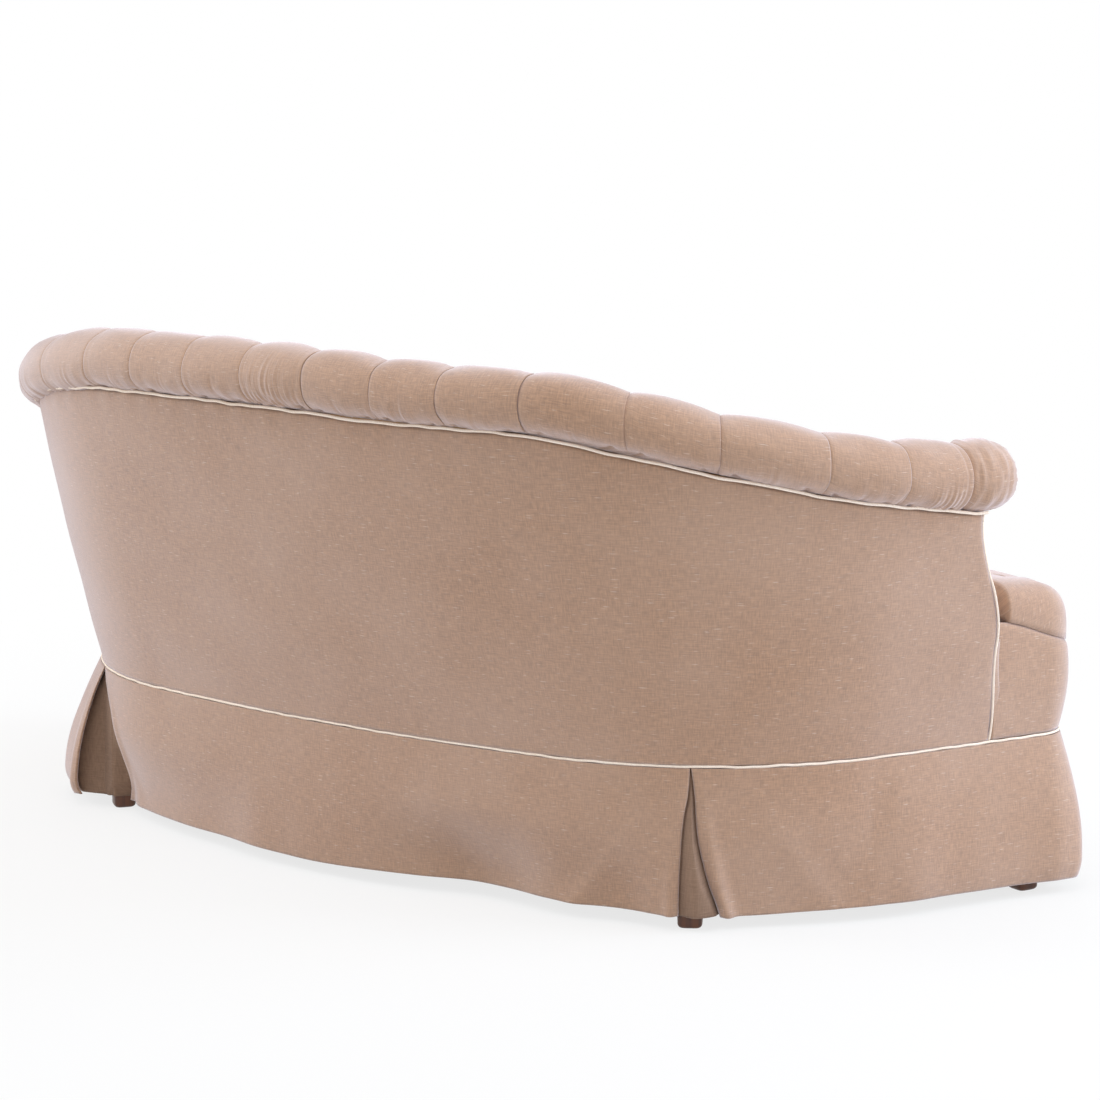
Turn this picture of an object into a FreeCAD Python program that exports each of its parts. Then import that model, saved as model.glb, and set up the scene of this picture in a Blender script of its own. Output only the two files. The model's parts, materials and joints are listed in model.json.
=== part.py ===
"""Curved settee with a buttoned, rolled back, a sprung T-shaped seat and a kick-pleated skirt.

Units are millimetres. +Z is up, the seat opens towards -Y and the sitter's left is +X.
The origin is the centre of the footprint on the floor.

Every piece is placed from one closed line in plan, the outline of the skirt-top piping.
A place on it is s, the distance along it from the middle of the back, positive towards +X,
and n, the distance outwards from it, so a section of the back is drawn in (n, z).
"""
import FreeCAD
import Part
import math
import os

V = FreeCAD.Vector

# Outline in plan
back_radius = 2790.0         # shallow curve across the middle of the back
corner_radius = 440.0        # tighter curve where the back turns into an arm
arm_radius = 7300.0          # the arm, almost straight
back_sweep = 8.0             # degrees from the middle to the end of the shallow curve
arm_start = 68.0             # degrees turned where the arm starts
front_corner_radius = 50.0
front_radius = 8000.0        # bow of the front
front_depth = 688.0          # middle of the front, in front of the middle of the back

# Heights
skirt_height = 229.7         # skirt-top piping
hem_height = 18.0            # hem above the floor
crest_height = 698.0         # top piping over the middle of the back
arm_height = 569.0           # top piping at the front of an arm
seat_seam_height = 380.0     # seam between the seat's cover and its border
seat_height = 456.0          # edge of the seat's flat top
seat_crown = 9.0             # rise in the middle of the seat
rail_bottom = 150.0          # underside of the seat rails, top of the feet
rail_top = 315.0

# Lean of the back and how its top falls towards the arms
back_lean = 132.0            # top piping outwards of the skirt piping, middle
arm_lean = 78.0              # the same at the front of an arm
panel_bulge = 5.0            # outward swell of the outside cover
crest_half_width = 277.0     # the top starts to fall here
fall_setback = 44.0          # and stops this far behind the foot of the arm's edge
lean_setback = 250.0         # the lean stops changing this far behind it

# Front edge of an arm, as distances along the outline
ear_reach = 102.7            # from its foot at the skirt piping to the front corner
arm_belly = 21.0             # set back from its foot to the seat seam
arm_scroll = 57.0            # further set back from the seam to the roll

# Frame of beech
rail_thickness = 32.0
post_thickness = 31.0
post_width = 46.0
post_setback = 2.5           # a post stands this far inside the rails' faces
upright_place = 215.0        # s of the uprights between the back posts
foot_place = 587.0           # s of the back posts and back feet
top_rail_thickness = 34.0
top_rail_height = 45.0
post_housing = 12.0          # a post stands this far into the top rail
tack_rail_thickness = 20.0
tack_rail_height = 40.0
tack_rail_rise = 20.0        # its underside above the seat rails, at least
tack_rail_drop = 5.0         # its top below the seat seam
tack_rail_setback = 56.0     # its ends behind the foot of the arm's edge
post_kink_drop = 10.0        # above this far below the tack rail's top a post leans
arm_post_depth = 40.0
cross_rail_place = 300.0
cross_rail_width = 28.0
cross_rail_bottom = 165.0
cross_rail_top = 225.0
corner_block_reach = 62.0
corner_block_bottom = 235.0
corner_block_top = 285.0
corner_post_reach = 40.0     # beyond the corner's arc, along each rail

# Feet of walnut
foot_top = 46.0
foot_bottom = 34.0
foot_round = 7.0
foot_inset = 5.0             # outer face inside the outline
bolt_radius = 4.0
bolt_length = 70.0
bolt_in_foot = 38.0
bolt_clearance = 0.3
bolt_inset = 19.5

# Covers and cords
cover_thickness = 3.0
piping_radius = 3.0
piping_seat = 0.4            # clearance between a cord and the covers beside it
fit = 0.5                    # clearance between a soft piece and its neighbour
panel_clearance = 1.8        # outside cover to the frame behind it

# Buttoned inside back and roll
last_pleat_setback = 97.5    # the last pleat behind the foot of the arm's edge
channels_each_side = 9       # upper buttons on each side of the middle
upper_row = 0.70             # share of the height from the seat to the top piping
lower_row = 0.30
stuffing_hang = 1.0          # its bottom below the tack rail
stuffing_seat = 62.0         # depth of a channel's crown at the seat
stuffing_top = 26.0          # and under the roll
pleat_depth = 6.0            # a pleat lies this far below its crowns
button_depth = 24.0          # a button lies this far below the crowns
fold_depth = 15.0            # middle of the fold between two buttons
fold_below = 0.25            # share of a fold that is left at the bottom
fold_above = 0.20            # and halfway up to the roll
crown_station = 0.35         # a station this share of the way from a pleat to a crown
button_radius = 9.5
button_rise = 6.0
upper_lift = 8.4             # back of an upper button above the bottom of its dimple
lower_lift = 7.0             # and of a lower one
arm_lift = 2.0               # more for the last upper button, less for the last lower one
roll_radius = 48.5           # over the middle of the back
arm_roll_radius = 55.0       # and at the front of an arm
roll_lip = 33.5              # the roll stands this far out of the top piping
roll_squash = 0.86           # height of its centre above the piping, by its radius
roll_overhang = 50.0         # past the front edge of the arm
roll_end_steps = (0.0, 0.5, 0.8, 0.95, 1.0)
roll_end_power = 3.0
roll_end_most = 0.93         # share of its size that an end loses
roll_end_inward = 4.0        # an end is drawn towards a point this far inside the centre
roll_end_drop = 8.0          # and below it
roll_tuck_turn = -52.0       # degrees round the roll where its outer side turns in
roll_neck = 0.45             # its inner side turns in this share of a radius below its centre
roll_chords = 3              # flats to each quarter of the roll

# Webbing, hessian and springs
web_width = 50.0
web_thickness = 2.0
web_clearance = 1.4
web_lap = 28.0               # length that lies on the top rail
hessian_thickness = 1.4
hessian_clearance = 1.0      # from the webbing
spring_count = 7
spring_spacing = 160.0
spring_loops = 14
spring_half_width = 24.0
spring_wire = 3.2
spring_lift = 0.3
spring_straight = 0.4        # share of a loop that runs straight
mitre_least = 0.3            # keeps the mitre of a sharp bend short
clip_length = 22.0
clip_thickness = 1.2
tie_radius = 1.8
tie_places = (-215.0, -430.0)

# Seat
seat_edge_swell = 5.0        # the seat stands this far out of the outline
border_swell = 6.0           # the border at its middle
border_foot_swell = 1.0
nose_radius = 54.0
nose_swell = 1.5
seat_back_gap = 1.2
seat_back_ease = 6.0         # more gap at the top of the seat's back edge
seat_middle = 0.55           # middle of the crown, by the depth of the front
crown_share = 0.55           # size of the flat on the crown
ear_gap = 18.0               # from the arm's edge at the seat seam to the ear of the seat

# Arm fronts
arm_pad = 14.0               # padding in front of the arm post
arm_nose = 16.0              # swell of the padding
cover_trim = 30.0            # the outside cover is made this much too long, then cut
trim_margin = 60.0           # the cut runs this far above and below the cover

# Skirt
skirt_panel_gap = 1.5        # half the slit of a kick pleat at the top
hem_draw_in = 16.0           # a panel's hem hangs inside its top
hem_flare = 24.0             # and stands out at the kick pleats
flare_run = 190.0            # the flare dies away over this length
left_flare = 55.0            # more flare on the left arm's panel
left_flare_place = 740.0     # s of its middle
left_flare_run = 250.0
skirt_knee = 0.6             # offset of a panel at the rail's underside
knee_share = 0.2             # and this share of an outward hem more
fall_share = 0.42            # share of its swing that a panel has halfway down
underlay_half_width = 60.0
underlay_flare = 9.0
under_gap = 1.0              # between a panel and the underlay behind it
corner_step = 10.0           # stations round a front corner
dust_cover_inset = 14.0
dust_cover_thickness = 1.0


def smooth(t):
    """Rise from 0 to 1 with level ends."""
    t = min(max(t, 0.0), 1.0)
    return t * t * (3.0 - 2.0 * t)


def make_outline():
    """List the arcs of the outline from the middle of the back to the middle of the front.

    Each is (centre x, centre y, radius, first angle, last angle, s at its start), with
    angles from +Y towards +X, and each arc is tangent to the next.
    """
    first = math.radians(back_sweep)
    second = math.radians(arm_start)
    cx, cy = 0.0, -back_radius
    arcs = [(cx, cy, back_radius, 0.0, first)]
    cx += (back_radius - corner_radius) * math.sin(first)
    cy += (back_radius - corner_radius) * math.cos(first)
    arcs.append((cx, cy, corner_radius, first, second))
    cx += (corner_radius - arm_radius) * math.sin(second)
    cy += (corner_radius - arm_radius) * math.cos(second)
    # The front corner's centre lies on two circles, inside the arm and inside the front.
    fy = front_radius - front_depth
    ra = arm_radius - front_corner_radius
    rf = front_radius - front_corner_radius
    apart = math.hypot(cx, cy - fy)
    reach = (ra * ra - rf * rf + apart * apart) / (2.0 * apart)
    across = math.sqrt(ra * ra - reach * reach)
    ux, uy = -cx / apart, (fy - cy) / apart
    kx = cx + reach * ux + across * uy
    ky = cy + reach * uy - across * ux
    third = math.atan2(kx - cx, ky - cy)
    fourth = math.atan2(kx, ky - fy)
    arcs.append((cx, cy, arm_radius, second, third))
    arcs.append((kx, ky, front_corner_radius, third, fourth))
    arcs.append((0.0, fy, front_radius, fourth, math.pi))
    listed = []
    start = 0.0
    for cx, cy, radius, low, high in arcs:
        listed.append((cx, cy, radius, low, high, start))
        start += radius * (high - low)
    return listed, start


OUTLINE, half_length = make_outline()
corner_start = OUTLINE[3][5]
corner_end = OUTLINE[4][5]
corner_middle = (corner_start + corner_end) / 2.0
arm_foot_reach = corner_start - ear_reach
fall_end = arm_foot_reach - fall_setback
lean_end = arm_foot_reach - lean_setback
tack_rail_reach = arm_foot_reach - tack_rail_setback
tack_rail_bottom = max(rail_top + tack_rail_rise, seat_seam_height - tack_rail_drop - tack_rail_height)
tack_rail_top = tack_rail_bottom + tack_rail_height
post_kink = tack_rail_top - post_kink_drop
stuffing_bottom = tack_rail_bottom - stuffing_hang
button_pitch = (arm_foot_reach - last_pleat_setback) / (channels_each_side - 0.5)


def arc_of(s):
    """Return the arc that holds the distance s, and the angle there."""
    t = min(abs(s), half_length)
    chosen = OUTLINE[0]
    for arc in OUTLINE:
        if t >= arc[5] - 1e-9:
            chosen = arc
    return chosen, chosen[3] + (t - chosen[5]) / chosen[2]


def spot(s, n, z):
    """Return the point at distance s, offset n and height z."""
    arc, angle = arc_of(s)
    side = -1.0 if s < 0 else 1.0
    reach = arc[2] + n
    return V(side * (arc[0] + reach * math.sin(angle)), arc[1] + reach * math.cos(angle), z)


def outward(s):
    """Return the unit vector that points out of the outline at s."""
    angle = arc_of(s)[1]
    side = -1.0 if s < 0 else 1.0
    return V(side * math.sin(angle), math.cos(angle), 0)


def along(s):
    """Return the unit vector along the outline at s, towards larger s."""
    out = outward(s)
    return V(out.y, -out.x, 0)


def run_points(s0, s1):
    """Split the stretch from s0 to s1 where one arc of the outline meets the next."""
    joints = [arc[5] for arc in OUTLINE[1:]]
    joints += [-joint for joint in joints]
    inside = sorted(j for j in joints if min(s0, s1) + 0.01 < j < max(s0, s1) - 0.01)
    if s1 < s0:
        inside.reverse()
    return [s0] + inside + [s1]


def run_edges(s0, s1, offset, z):
    """Return arc edges along the outline from s0 to s1; offset is a number or a function of s."""
    shift = offset if callable(offset) else (lambda s: offset)
    edges = []
    places = run_points(s0, s1)
    for a, b in zip(places, places[1:]):
        m = (a + b) / 2.0
        ends = [spot(t, shift(t), z) for t in (a, m, b)]
        edges.append(Part.Arc(*ends).toShape())
    return edges


def line(a, b):
    """Return a straight edge."""
    return Part.makeLine(a, b)


def band_wire(s0, s1, inner, outer, z):
    """Return the closed plan wire of a strip between two offsets."""
    out = run_edges(s0, s1, outer, z)
    back = run_edges(s1, s0, inner, z)
    first = out[0].Vertexes[0].Point
    edges = out + [line(out[-1].Vertexes[-1].Point, back[0].Vertexes[0].Point)]
    edges += back + [line(back[-1].Vertexes[-1].Point, first)]
    return Part.Wire(edges)


def band(s0, s1, inner, outer, low, high):
    """Return an upright curved board that follows the outline."""
    return Part.Face(band_wire(s0, s1, inner, outer, low)).extrude(V(0, 0, high - low))


def arc_points(a, m, b, count):
    """Points after a on the arc from a through m to b, count chords long, as (n, z) pairs."""
    d = 2.0 * (a[0] * (m[1] - b[1]) + m[0] * (b[1] - a[1]) + b[0] * (a[1] - m[1]))
    if abs(d) < 1e-6:
        return [b]
    aa, mm, bb = [p[0] * p[0] + p[1] * p[1] for p in (a, m, b)]
    cx = (aa * (m[1] - b[1]) + mm * (b[1] - a[1]) + bb * (a[1] - m[1])) / d
    cy = (aa * (b[0] - m[0]) + mm * (a[0] - b[0]) + bb * (m[0] - a[0])) / d
    radius = math.hypot(a[0] - cx, a[1] - cy)
    first, middle, last = [math.atan2(p[1] - cy, p[0] - cx) for p in (a, m, b)]
    full = 2.0 * math.pi
    turn = (last - first) % full
    if (middle - first) % full > turn:
        turn -= full
    steps = [first + turn * i / count for i in range(1, count)]
    return [(cx + radius * math.cos(t), cy + radius * math.sin(t)) for t in steps] + [b]


def section(s, start, path, chords=3):
    """Return the corners of a closed section in the upright plane at s.

    start and each step of path are (n, z); a step of two pairs is an arc through the first,
    drawn as a number of chords.
    """
    points = [start]
    for step in path:
        if isinstance(step[0], tuple):
            points += arc_points(points[-1], step[0], step[1], chords)
        else:
            points.append(step)
    return [spot(s, n, z) for n, z in points]


def flat_face(points):
    """Return a face on a closed run of corners."""
    return Part.Face(Part.makePolygon(points + [points[0]]))


def flat_loft(rings):
    """Loft through rings of corners, all with as many, so that every face is flat."""
    faces = [flat_face(rings[0]), flat_face(rings[-1])]
    for low, high in zip(rings, rings[1:]):
        for i in range(len(low)):
            j = (i + 1) % len(low)
            a, b, c, d = low[i], low[j], high[j], high[i]
            corners = [p for p, q in ((a, d), (b, a), (c, b), (d, c)) if p.distanceToPoint(q) > 1e-6]
            if len(corners) < 3:
                continue
            if len(corners) == 3:
                faces.append(flat_face(corners))
            elif abs((b - a).cross(c - a).dot(d - a)) < 1e-4:
                faces.append(flat_face([a, b, c, d]))
            elif a.distanceToPoint(c) < b.distanceToPoint(d):
                faces += [flat_face([a, b, c]), flat_face([a, c, d])]
            else:
                faces += [flat_face([a, b, d]), flat_face([b, c, d])]
    solid = Part.Solid(Part.Shell(faces))
    if solid.Volume < 0:
        solid.reverse()
    return solid


def along_outline(places, profile, chords=3):
    """Loft a section, given as profile(s) = (start, path), through the places."""
    return flat_loft([section(s, *profile(s), chords) for s in places])


def stations(s0, s1, step):
    """Return evenly spaced distances from s0 to s1, about a step apart."""
    count = max(1, int(round(abs(s1 - s0) / step)))
    return [s0 + (s1 - s0) * i / count for i in range(count + 1)]


# Lines of the back that every piece of it shares

def top_height(s):
    """Height of the top piping."""
    fall = smooth((abs(s) - crest_half_width) / (fall_end - crest_half_width))
    return crest_height + (arm_height - crest_height) * fall


def top_lean(s):
    """Offset of the top piping."""
    fall = smooth((abs(s) - crest_half_width) / (lean_end - crest_half_width))
    return back_lean + (arm_lean - back_lean) * fall


def skin(s, z):
    """Offset of the outside cover at a height."""
    t = (z - skirt_height) / (top_height(s) - skirt_height)
    return top_lean(s) * t + 4.0 * panel_bulge * t * (1.0 - t)


frame_face = cover_thickness + panel_clearance


def post_face(s, z):
    """Offset of a post's outer face: upright at the rail, leaning above the kink."""
    foot = -frame_face - post_setback
    if z <= post_kink:
        return foot + skin(s, post_kink) * max(z - rail_top, 0.0) / (post_kink - rail_top)
    return foot + skin(s, z)


def tack_point(s, z):
    """Offset of the inner face of the tack rail at a height."""
    return post_face(s, z) - post_thickness - fit - tack_rail_thickness


def base_line(s, z):
    """Offset of the webbing: down the tack rail, and straight from it to the top rail."""
    if z <= tack_rail_top:
        return tack_point(s, z)
    low = tack_point(s, tack_rail_top)
    high = top_lean(s) - frame_face - top_rail_thickness
    return low + (high - low) * (z - tack_rail_top) / (top_height(s) - tack_rail_top)


stuffing_back = web_clearance + web_thickness + hessian_clearance + hessian_thickness + fit


def crown_depth(s, z):
    """Depth of the stuffing at the crown of a channel."""
    t = (z - seat_height) / (top_height(s) - seat_height)
    return stuffing_seat + (stuffing_top - stuffing_seat) * smooth(t)


def inner_crown(s, z):
    """Offset of the crowns of the inside back."""
    return base_line(s, z) - stuffing_back - crown_depth(s, z)


def row_height(s, share):
    """Height of a row of buttons."""
    return seat_height + share * (top_height(s) - seat_height)


def arm_edge(z):
    """Distance s of the front edge of an arm at a height."""
    low = smooth((z - skirt_height) / (seat_seam_height - skirt_height))
    high = smooth((z - seat_seam_height) / (arm_height - seat_seam_height))
    return arm_foot_reach - arm_belly * low - arm_scroll * high


arm_top_reach = arm_edge(arm_height)
last_pleat = (channels_each_side - 0.5) * button_pitch
half_pitch = button_pitch / 2.0


def pleat_phase(s):
    """0 over an upper button, 1 half a pitch away."""
    t = abs(((s / button_pitch) - 0.5) % 1.0)
    return 2.0 * min(t, 1.0 - t)


def full_stations(reach):
    """Stations for buttoned pieces, two to each half channel, from -reach to reach."""
    half = []
    for i in range(2 * channels_each_side):
        for share in (0.0, crown_station):
            half.append((i + share) * half_pitch)
    half = [s for s in half if s < reach - 1.0] + [reach]
    return [-s for s in reversed(half[1:])] + half


def swell(phase):
    """Crown of a channel from its pleat, 0, to its middle, 1."""
    return 1.0 - (1.0 - phase) ** 2


# Soft pieces of the back

def inside_profile(s):
    """Section of the buttoned inside back."""
    phase = pleat_phase(s)
    over = pleat_depth * (1.0 - swell(phase))
    under = pleat_depth * (1.0 - swell(1.0 - phase))
    high = row_height(s, upper_row)
    low = row_height(s, lower_row)
    row = high + (low - high) * phase
    fold = button_depth + (fold_depth - button_depth) * 4.0 * phase * (1.0 - phase)
    top = top_height(s)
    rise = (seat_height + stuffing_bottom) / 2.0

    def face(z, sunk):
        return inner_crown(s, z) + sunk

    low_mid = (stuffing_bottom + row) / 2.0
    top_mid = (row + top) / 2.0
    start = (base_line(s, stuffing_bottom) - stuffing_back, stuffing_bottom)
    foot = (face(rise, under) + fold * fold_below, stuffing_bottom)
    path = [
        foot,
        ((face(low_mid, under), low_mid), (face(row, fold), row)),
        ((face(top_mid, over + fold * fold_above), top_mid), (face(top, over), top)),
        (base_line(s, top) - stuffing_back, top),
        (base_line(s, tack_rail_top) - stuffing_back, tack_rail_top),
    ]
    return start, path


def roll_section(s, shrink):
    """Section of the roll, drawn in towards its middle by a share of its size."""
    grown = smooth((abs(s) - crest_half_width) / (fall_end - crest_half_width))
    full = roll_radius + (arm_roll_radius - roll_radius) * grown
    radius = full - pleat_depth * (1.0 - swell(pleat_phase(s)))
    cn = top_lean(s) + roll_lip - full
    cz = top_height(s) + full * roll_squash
    seat = top_height(s) + fit
    inner = inner_crown(s, top_height(s)) + pleat_depth * (1.0 - swell(pleat_phase(s)))

    def ring(degrees):
        a = math.radians(degrees)
        return (cn + radius * math.cos(a), cz + radius * math.sin(a))

    start = (top_lean(s) - piping_radius, seat + piping_radius)
    path = [
        (ring(roll_tuck_turn), ring(0.0)),
        (ring(45.0), ring(90.0)),
        (ring(135.0), ring(180.0)),
        ((cn - radius - 2 * fit, cz - radius * roll_neck), (inner, seat)),
        (top_lean(s) - 4.0 * piping_radius, seat),
    ]
    if shrink == 0.0:
        return start, path
    mid = (cn - roll_end_inward, cz - roll_end_drop)

    def drawn(point):
        return tuple(p + (m - p) * shrink for p, m in zip(point, mid))

    drawn_path = []
    for step in path:
        if isinstance(step[0], tuple):
            drawn_path.append((drawn(step[0]), drawn(step[1])))
        else:
            drawn_path.append(drawn(step))
    return drawn(start), drawn_path


def make_roll():
    """The roll along the whole top, closed by a drawn-in end at each arm."""
    ends = []
    for t in roll_end_steps[1:]:
        shrink = 1.0 - (1.0 - t ** roll_end_power) ** (1.0 / roll_end_power)
        ends.append((arm_top_reach + roll_overhang * t, min(shrink, roll_end_most)))
    places = [(-s, shrink) for s, shrink in reversed(ends)]
    places += [(s, 0.0) for s in full_stations(arm_top_reach)] + ends
    return flat_loft([section(s, *roll_section(s, shrink), roll_chords) for s, shrink in places])


def make_inside_back():
    """The buttoned inside back between the two last pleats."""
    return along_outline(full_stations(last_pleat), inside_profile)


def make_button(s, back, z):
    """One button: an eight-sided shallow cone that faces into the seat and leans with the back."""
    rings = []
    lean = inner_crown(s, z + button_radius) - inner_crown(s, z - button_radius)
    upward = V(0, 0, 1) + outward(s) * (lean / (2.0 * button_radius))
    for radius, rise in ((button_radius, 0.0), (button_radius * 0.6, button_rise)):
        centre = spot(s, back - rise, z)
        points = []
        for i in range(8):
            turn = math.radians(45.0 * i)
            points.append(centre + along(s) * (radius * math.cos(turn)) + upward * (radius * math.sin(turn)))
        rings.append(points)
    return flat_loft(rings)


def make_buttons():
    """Covered buttons in two staggered rows, sunk in the stuffing."""
    made = []
    for share, start, lift, change in ((upper_row, 0.5, upper_lift, arm_lift),
                                       (lower_row, 0.0, lower_lift, -arm_lift)):
        for i in range(channels_each_side):
            place = (start + i) * button_pitch
            if place > last_pleat - 1.0:
                continue
            for side in ((1, -1) if place > 0 else (1,)):
                s = side * place
                z = row_height(s, share)
                sunk = button_depth - lift - change * (place / last_pleat) ** 2
                back = inner_crown(s, z) + sunk
                made.append(make_button(s, back, z))
    return Part.makeCompound(made)


def make_outside_back():
    """The outside cover, one thin curved sheet from arm to arm, cut to the arms' front edge."""
    low = skirt_height + piping_radius + piping_seat
    beyond = arm_foot_reach + cover_trim

    def profile(s):
        high = top_height(s) - piping_radius - piping_seat
        mid = (low + high) / 2.0
        out = [(skin(s, z), z) for z in (low, mid, high)]
        ins = [(n - cover_thickness, z) for n, z in out]
        return out[0], [(out[1], out[2]), ins[2], (ins[1], ins[0])]

    places = [s for s in full_half_stations() if abs(s) < last_pleat] + [last_pleat, beyond]
    sheet = along_outline([-beyond, -last_pleat] + places, profile)
    for side in (1, -1):
        sheet = sheet.cut(arm_edge_cutter(side, -piping_radius - 2 * piping_seat))
    return sheet


def arm_frame(side):
    """Return the point and directions of an upright plane across the arm's front."""
    s = side * arm_foot_reach
    return spot(s, 0, 0), along(s) * side, outward(s)


def arm_spot(side, reach, n, z):
    """Return a point near an arm's front, from a distance along the straight of the arm."""
    origin, ahead, out = arm_frame(side)
    return origin + ahead * (reach - arm_foot_reach) + out * n + V(0, 0, z)


def edge_heights(low, high, count):
    """Heights from low to high at which the arm's edge is drawn."""
    return [low + (high - low) * i / count for i in range(count + 1)]


def arm_edge_cutter(side, shift):
    """Block in front of the arm's edge line, to cut the outside cover."""
    low, high = skirt_height - trim_margin, crest_height + trim_margin
    inner = -back_lean - trim_margin
    points = [arm_spot(side, arm_edge(z) + shift, inner, z) for z in edge_heights(low, high, 12)]
    curve = Part.BSplineCurve()
    curve.interpolate(points)
    corners = [arm_spot(side, corner_end, inner, z) for z in (high, low)]
    wire = Part.Wire([curve.toShape(), line(points[-1], corners[0]),
                      line(corners[0], corners[1]), line(corners[1], points[0])])
    return Part.Face(wire).extrude(arm_frame(side)[2] * (-2.0 * inner))


def arm_skin(z):
    """Offset of the outside cover at the arm's front edge."""
    return skin(min(arm_edge(z), fall_end), z)


def make_arm_front(side):
    """Padding that wraps the front of an arm, from the outside cord to the inside back."""
    rings = []
    top = top_height(arm_top_reach) - fit
    for z in edge_heights(seat_seam_height + 2 * fit, top, 4):
        edge = arm_edge(z)
        post = edge - arm_pad
        outer = arm_skin(z) - piping_radius - piping_seat - 2 * fit
        back = base_line(last_pleat, z) - stuffing_back
        inner = inner_crown(last_pleat, z) + pleat_depth
        mid = (outer + inner) / 2.0
        rows = [(edge - 2 * arm_nose, inner - cover_thickness)]
        for degrees in (-65.0, -40.0, -15.0, 15.0, 40.0, 65.0):
            turn = math.radians(degrees)
            rows.append((edge - arm_nose + 2 * arm_nose * math.cos(turn),
                         mid + (outer - inner) / 2.0 * math.sin(turn)))
        rows += [(edge - arm_pad / 2.0, outer), (post, outer), (post, back)]
        tail = side * (last_pleat + fit)
        ring = [spot(tail, back, z), spot(tail, inner, z)]
        rings.append(ring + [arm_spot(side, reach, n, z) for reach, n in rows])
    return flat_loft(rings)


# Cords

def cord_ring(point_at):
    """Six-sided section of a cord; point_at(a, b) is the point at a and b radii from its middle."""
    points = []
    for i in range(6):
        turn = math.radians(60.0 * i)
        points.append(point_at(piping_radius * math.cos(turn), piping_radius * math.sin(turn)))
    return points


def make_cord(places, path):
    """Sweep a cord's section along the outline through the places; path(s) gives n and z."""
    rings = []
    for s in places:
        n, z = path(s)
        rings.append(cord_ring(lambda a, b, s=s, n=n, z=z: spot(s, n + a, z + b)))
    return flat_loft(rings)


def make_arm_cord(side):
    """Cord down the front edge of the outside cover."""
    low = skirt_height + piping_radius + piping_seat
    high = top_height(arm_top_reach) - piping_radius - piping_seat
    rings = []
    for z in edge_heights(low, high, 12):
        reach, n = arm_edge(z), arm_skin(z) - piping_radius * 0.5
        rings.append(cord_ring(lambda a, b, z=z, reach=reach, n=n: arm_spot(side, reach + a, n + b, z)))
    return flat_loft(rings)


# Frame

def make_top_rails():
    """Crest rail and the two arm rails, sawn to the curve and butted at the back posts."""
    def profile(s):
        z = top_height(s)
        outer = top_lean(s) - frame_face
        low = z - top_rail_height
        lean = skin(s, z) - skin(s, low)
        inner = outer - top_rail_thickness
        return (outer - lean, low), [(outer, z), (inner, z), (inner - lean, low)]

    end = arm_top_reach - arm_pad - fit
    spans = {"top_rail_centre": (-foot_place, foot_place),
             "top_rail_left": (foot_place, end),
             "top_rail_right": (-foot_place, -end)}
    rails = {}
    for name, (a, b) in spans.items():
        places = [a] + [s for s in full_half_stations() if min(a, b) + 5 < s < max(a, b) - 5] + [b]
        if b < a:
            places = [a] + sorted(places[1:-1], reverse=True) + [b]
        rails[name] = along_outline(places, profile)
    return rails


def full_half_stations():
    """Stations half a pitch apart over the whole back."""
    count = 2 * channels_each_side
    return [i * half_pitch for i in range(-count, count + 1)]


def make_post(s, foot):
    """Post from a foot height up into the top rail's underside."""
    top = top_height(s) - top_rail_height + post_housing
    heights = [foot] + [z for z in (rail_top, post_kink) if z > foot] + [top]
    outer = [(post_face(s, z), z) for z in heights]
    inner = [(n - post_thickness, z) for n, z in reversed(outer)]
    corners = [spot(s, n, z) - along(s) * (post_width / 2.0) for n, z in outer + inner]
    return flat_face(corners).extrude(along(s) * post_width)


def make_arm_post(side):
    """Post behind the arm's padded front, standing on the side rail."""
    rings = []
    top = top_height(arm_top_reach) - top_rail_height / 2.0
    for z in (rail_top, post_kink, seat_height, top):
        ahead = arm_edge(z) - arm_pad - fit
        outer = post_face(min(arm_edge(z), fall_end), z)
        inner = outer - post_thickness
        rows = [(ahead, outer), (ahead, inner), (ahead - arm_post_depth, inner),
                (ahead - arm_post_depth, outer)]
        rings.append([arm_spot(side, reach, n, z) for reach, n in rows])
    return flat_loft(rings)


def make_tack_rail():
    """Curved rail on the inner faces of the posts, where the inside covers are tacked."""
    def profile(s):
        heights = (tack_rail_bottom, post_kink, tack_rail_top)
        inner = [(tack_point(s, z), z) for z in heights]
        outer = [(n + tack_rail_thickness, z) for n, z in inner]
        return inner[0], outer + inner[:0:-1]

    places = [s for s in full_half_stations() if abs(s) <= last_pleat + 0.1]
    return along_outline([-tack_rail_reach] + places + [tack_rail_reach], profile)


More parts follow.
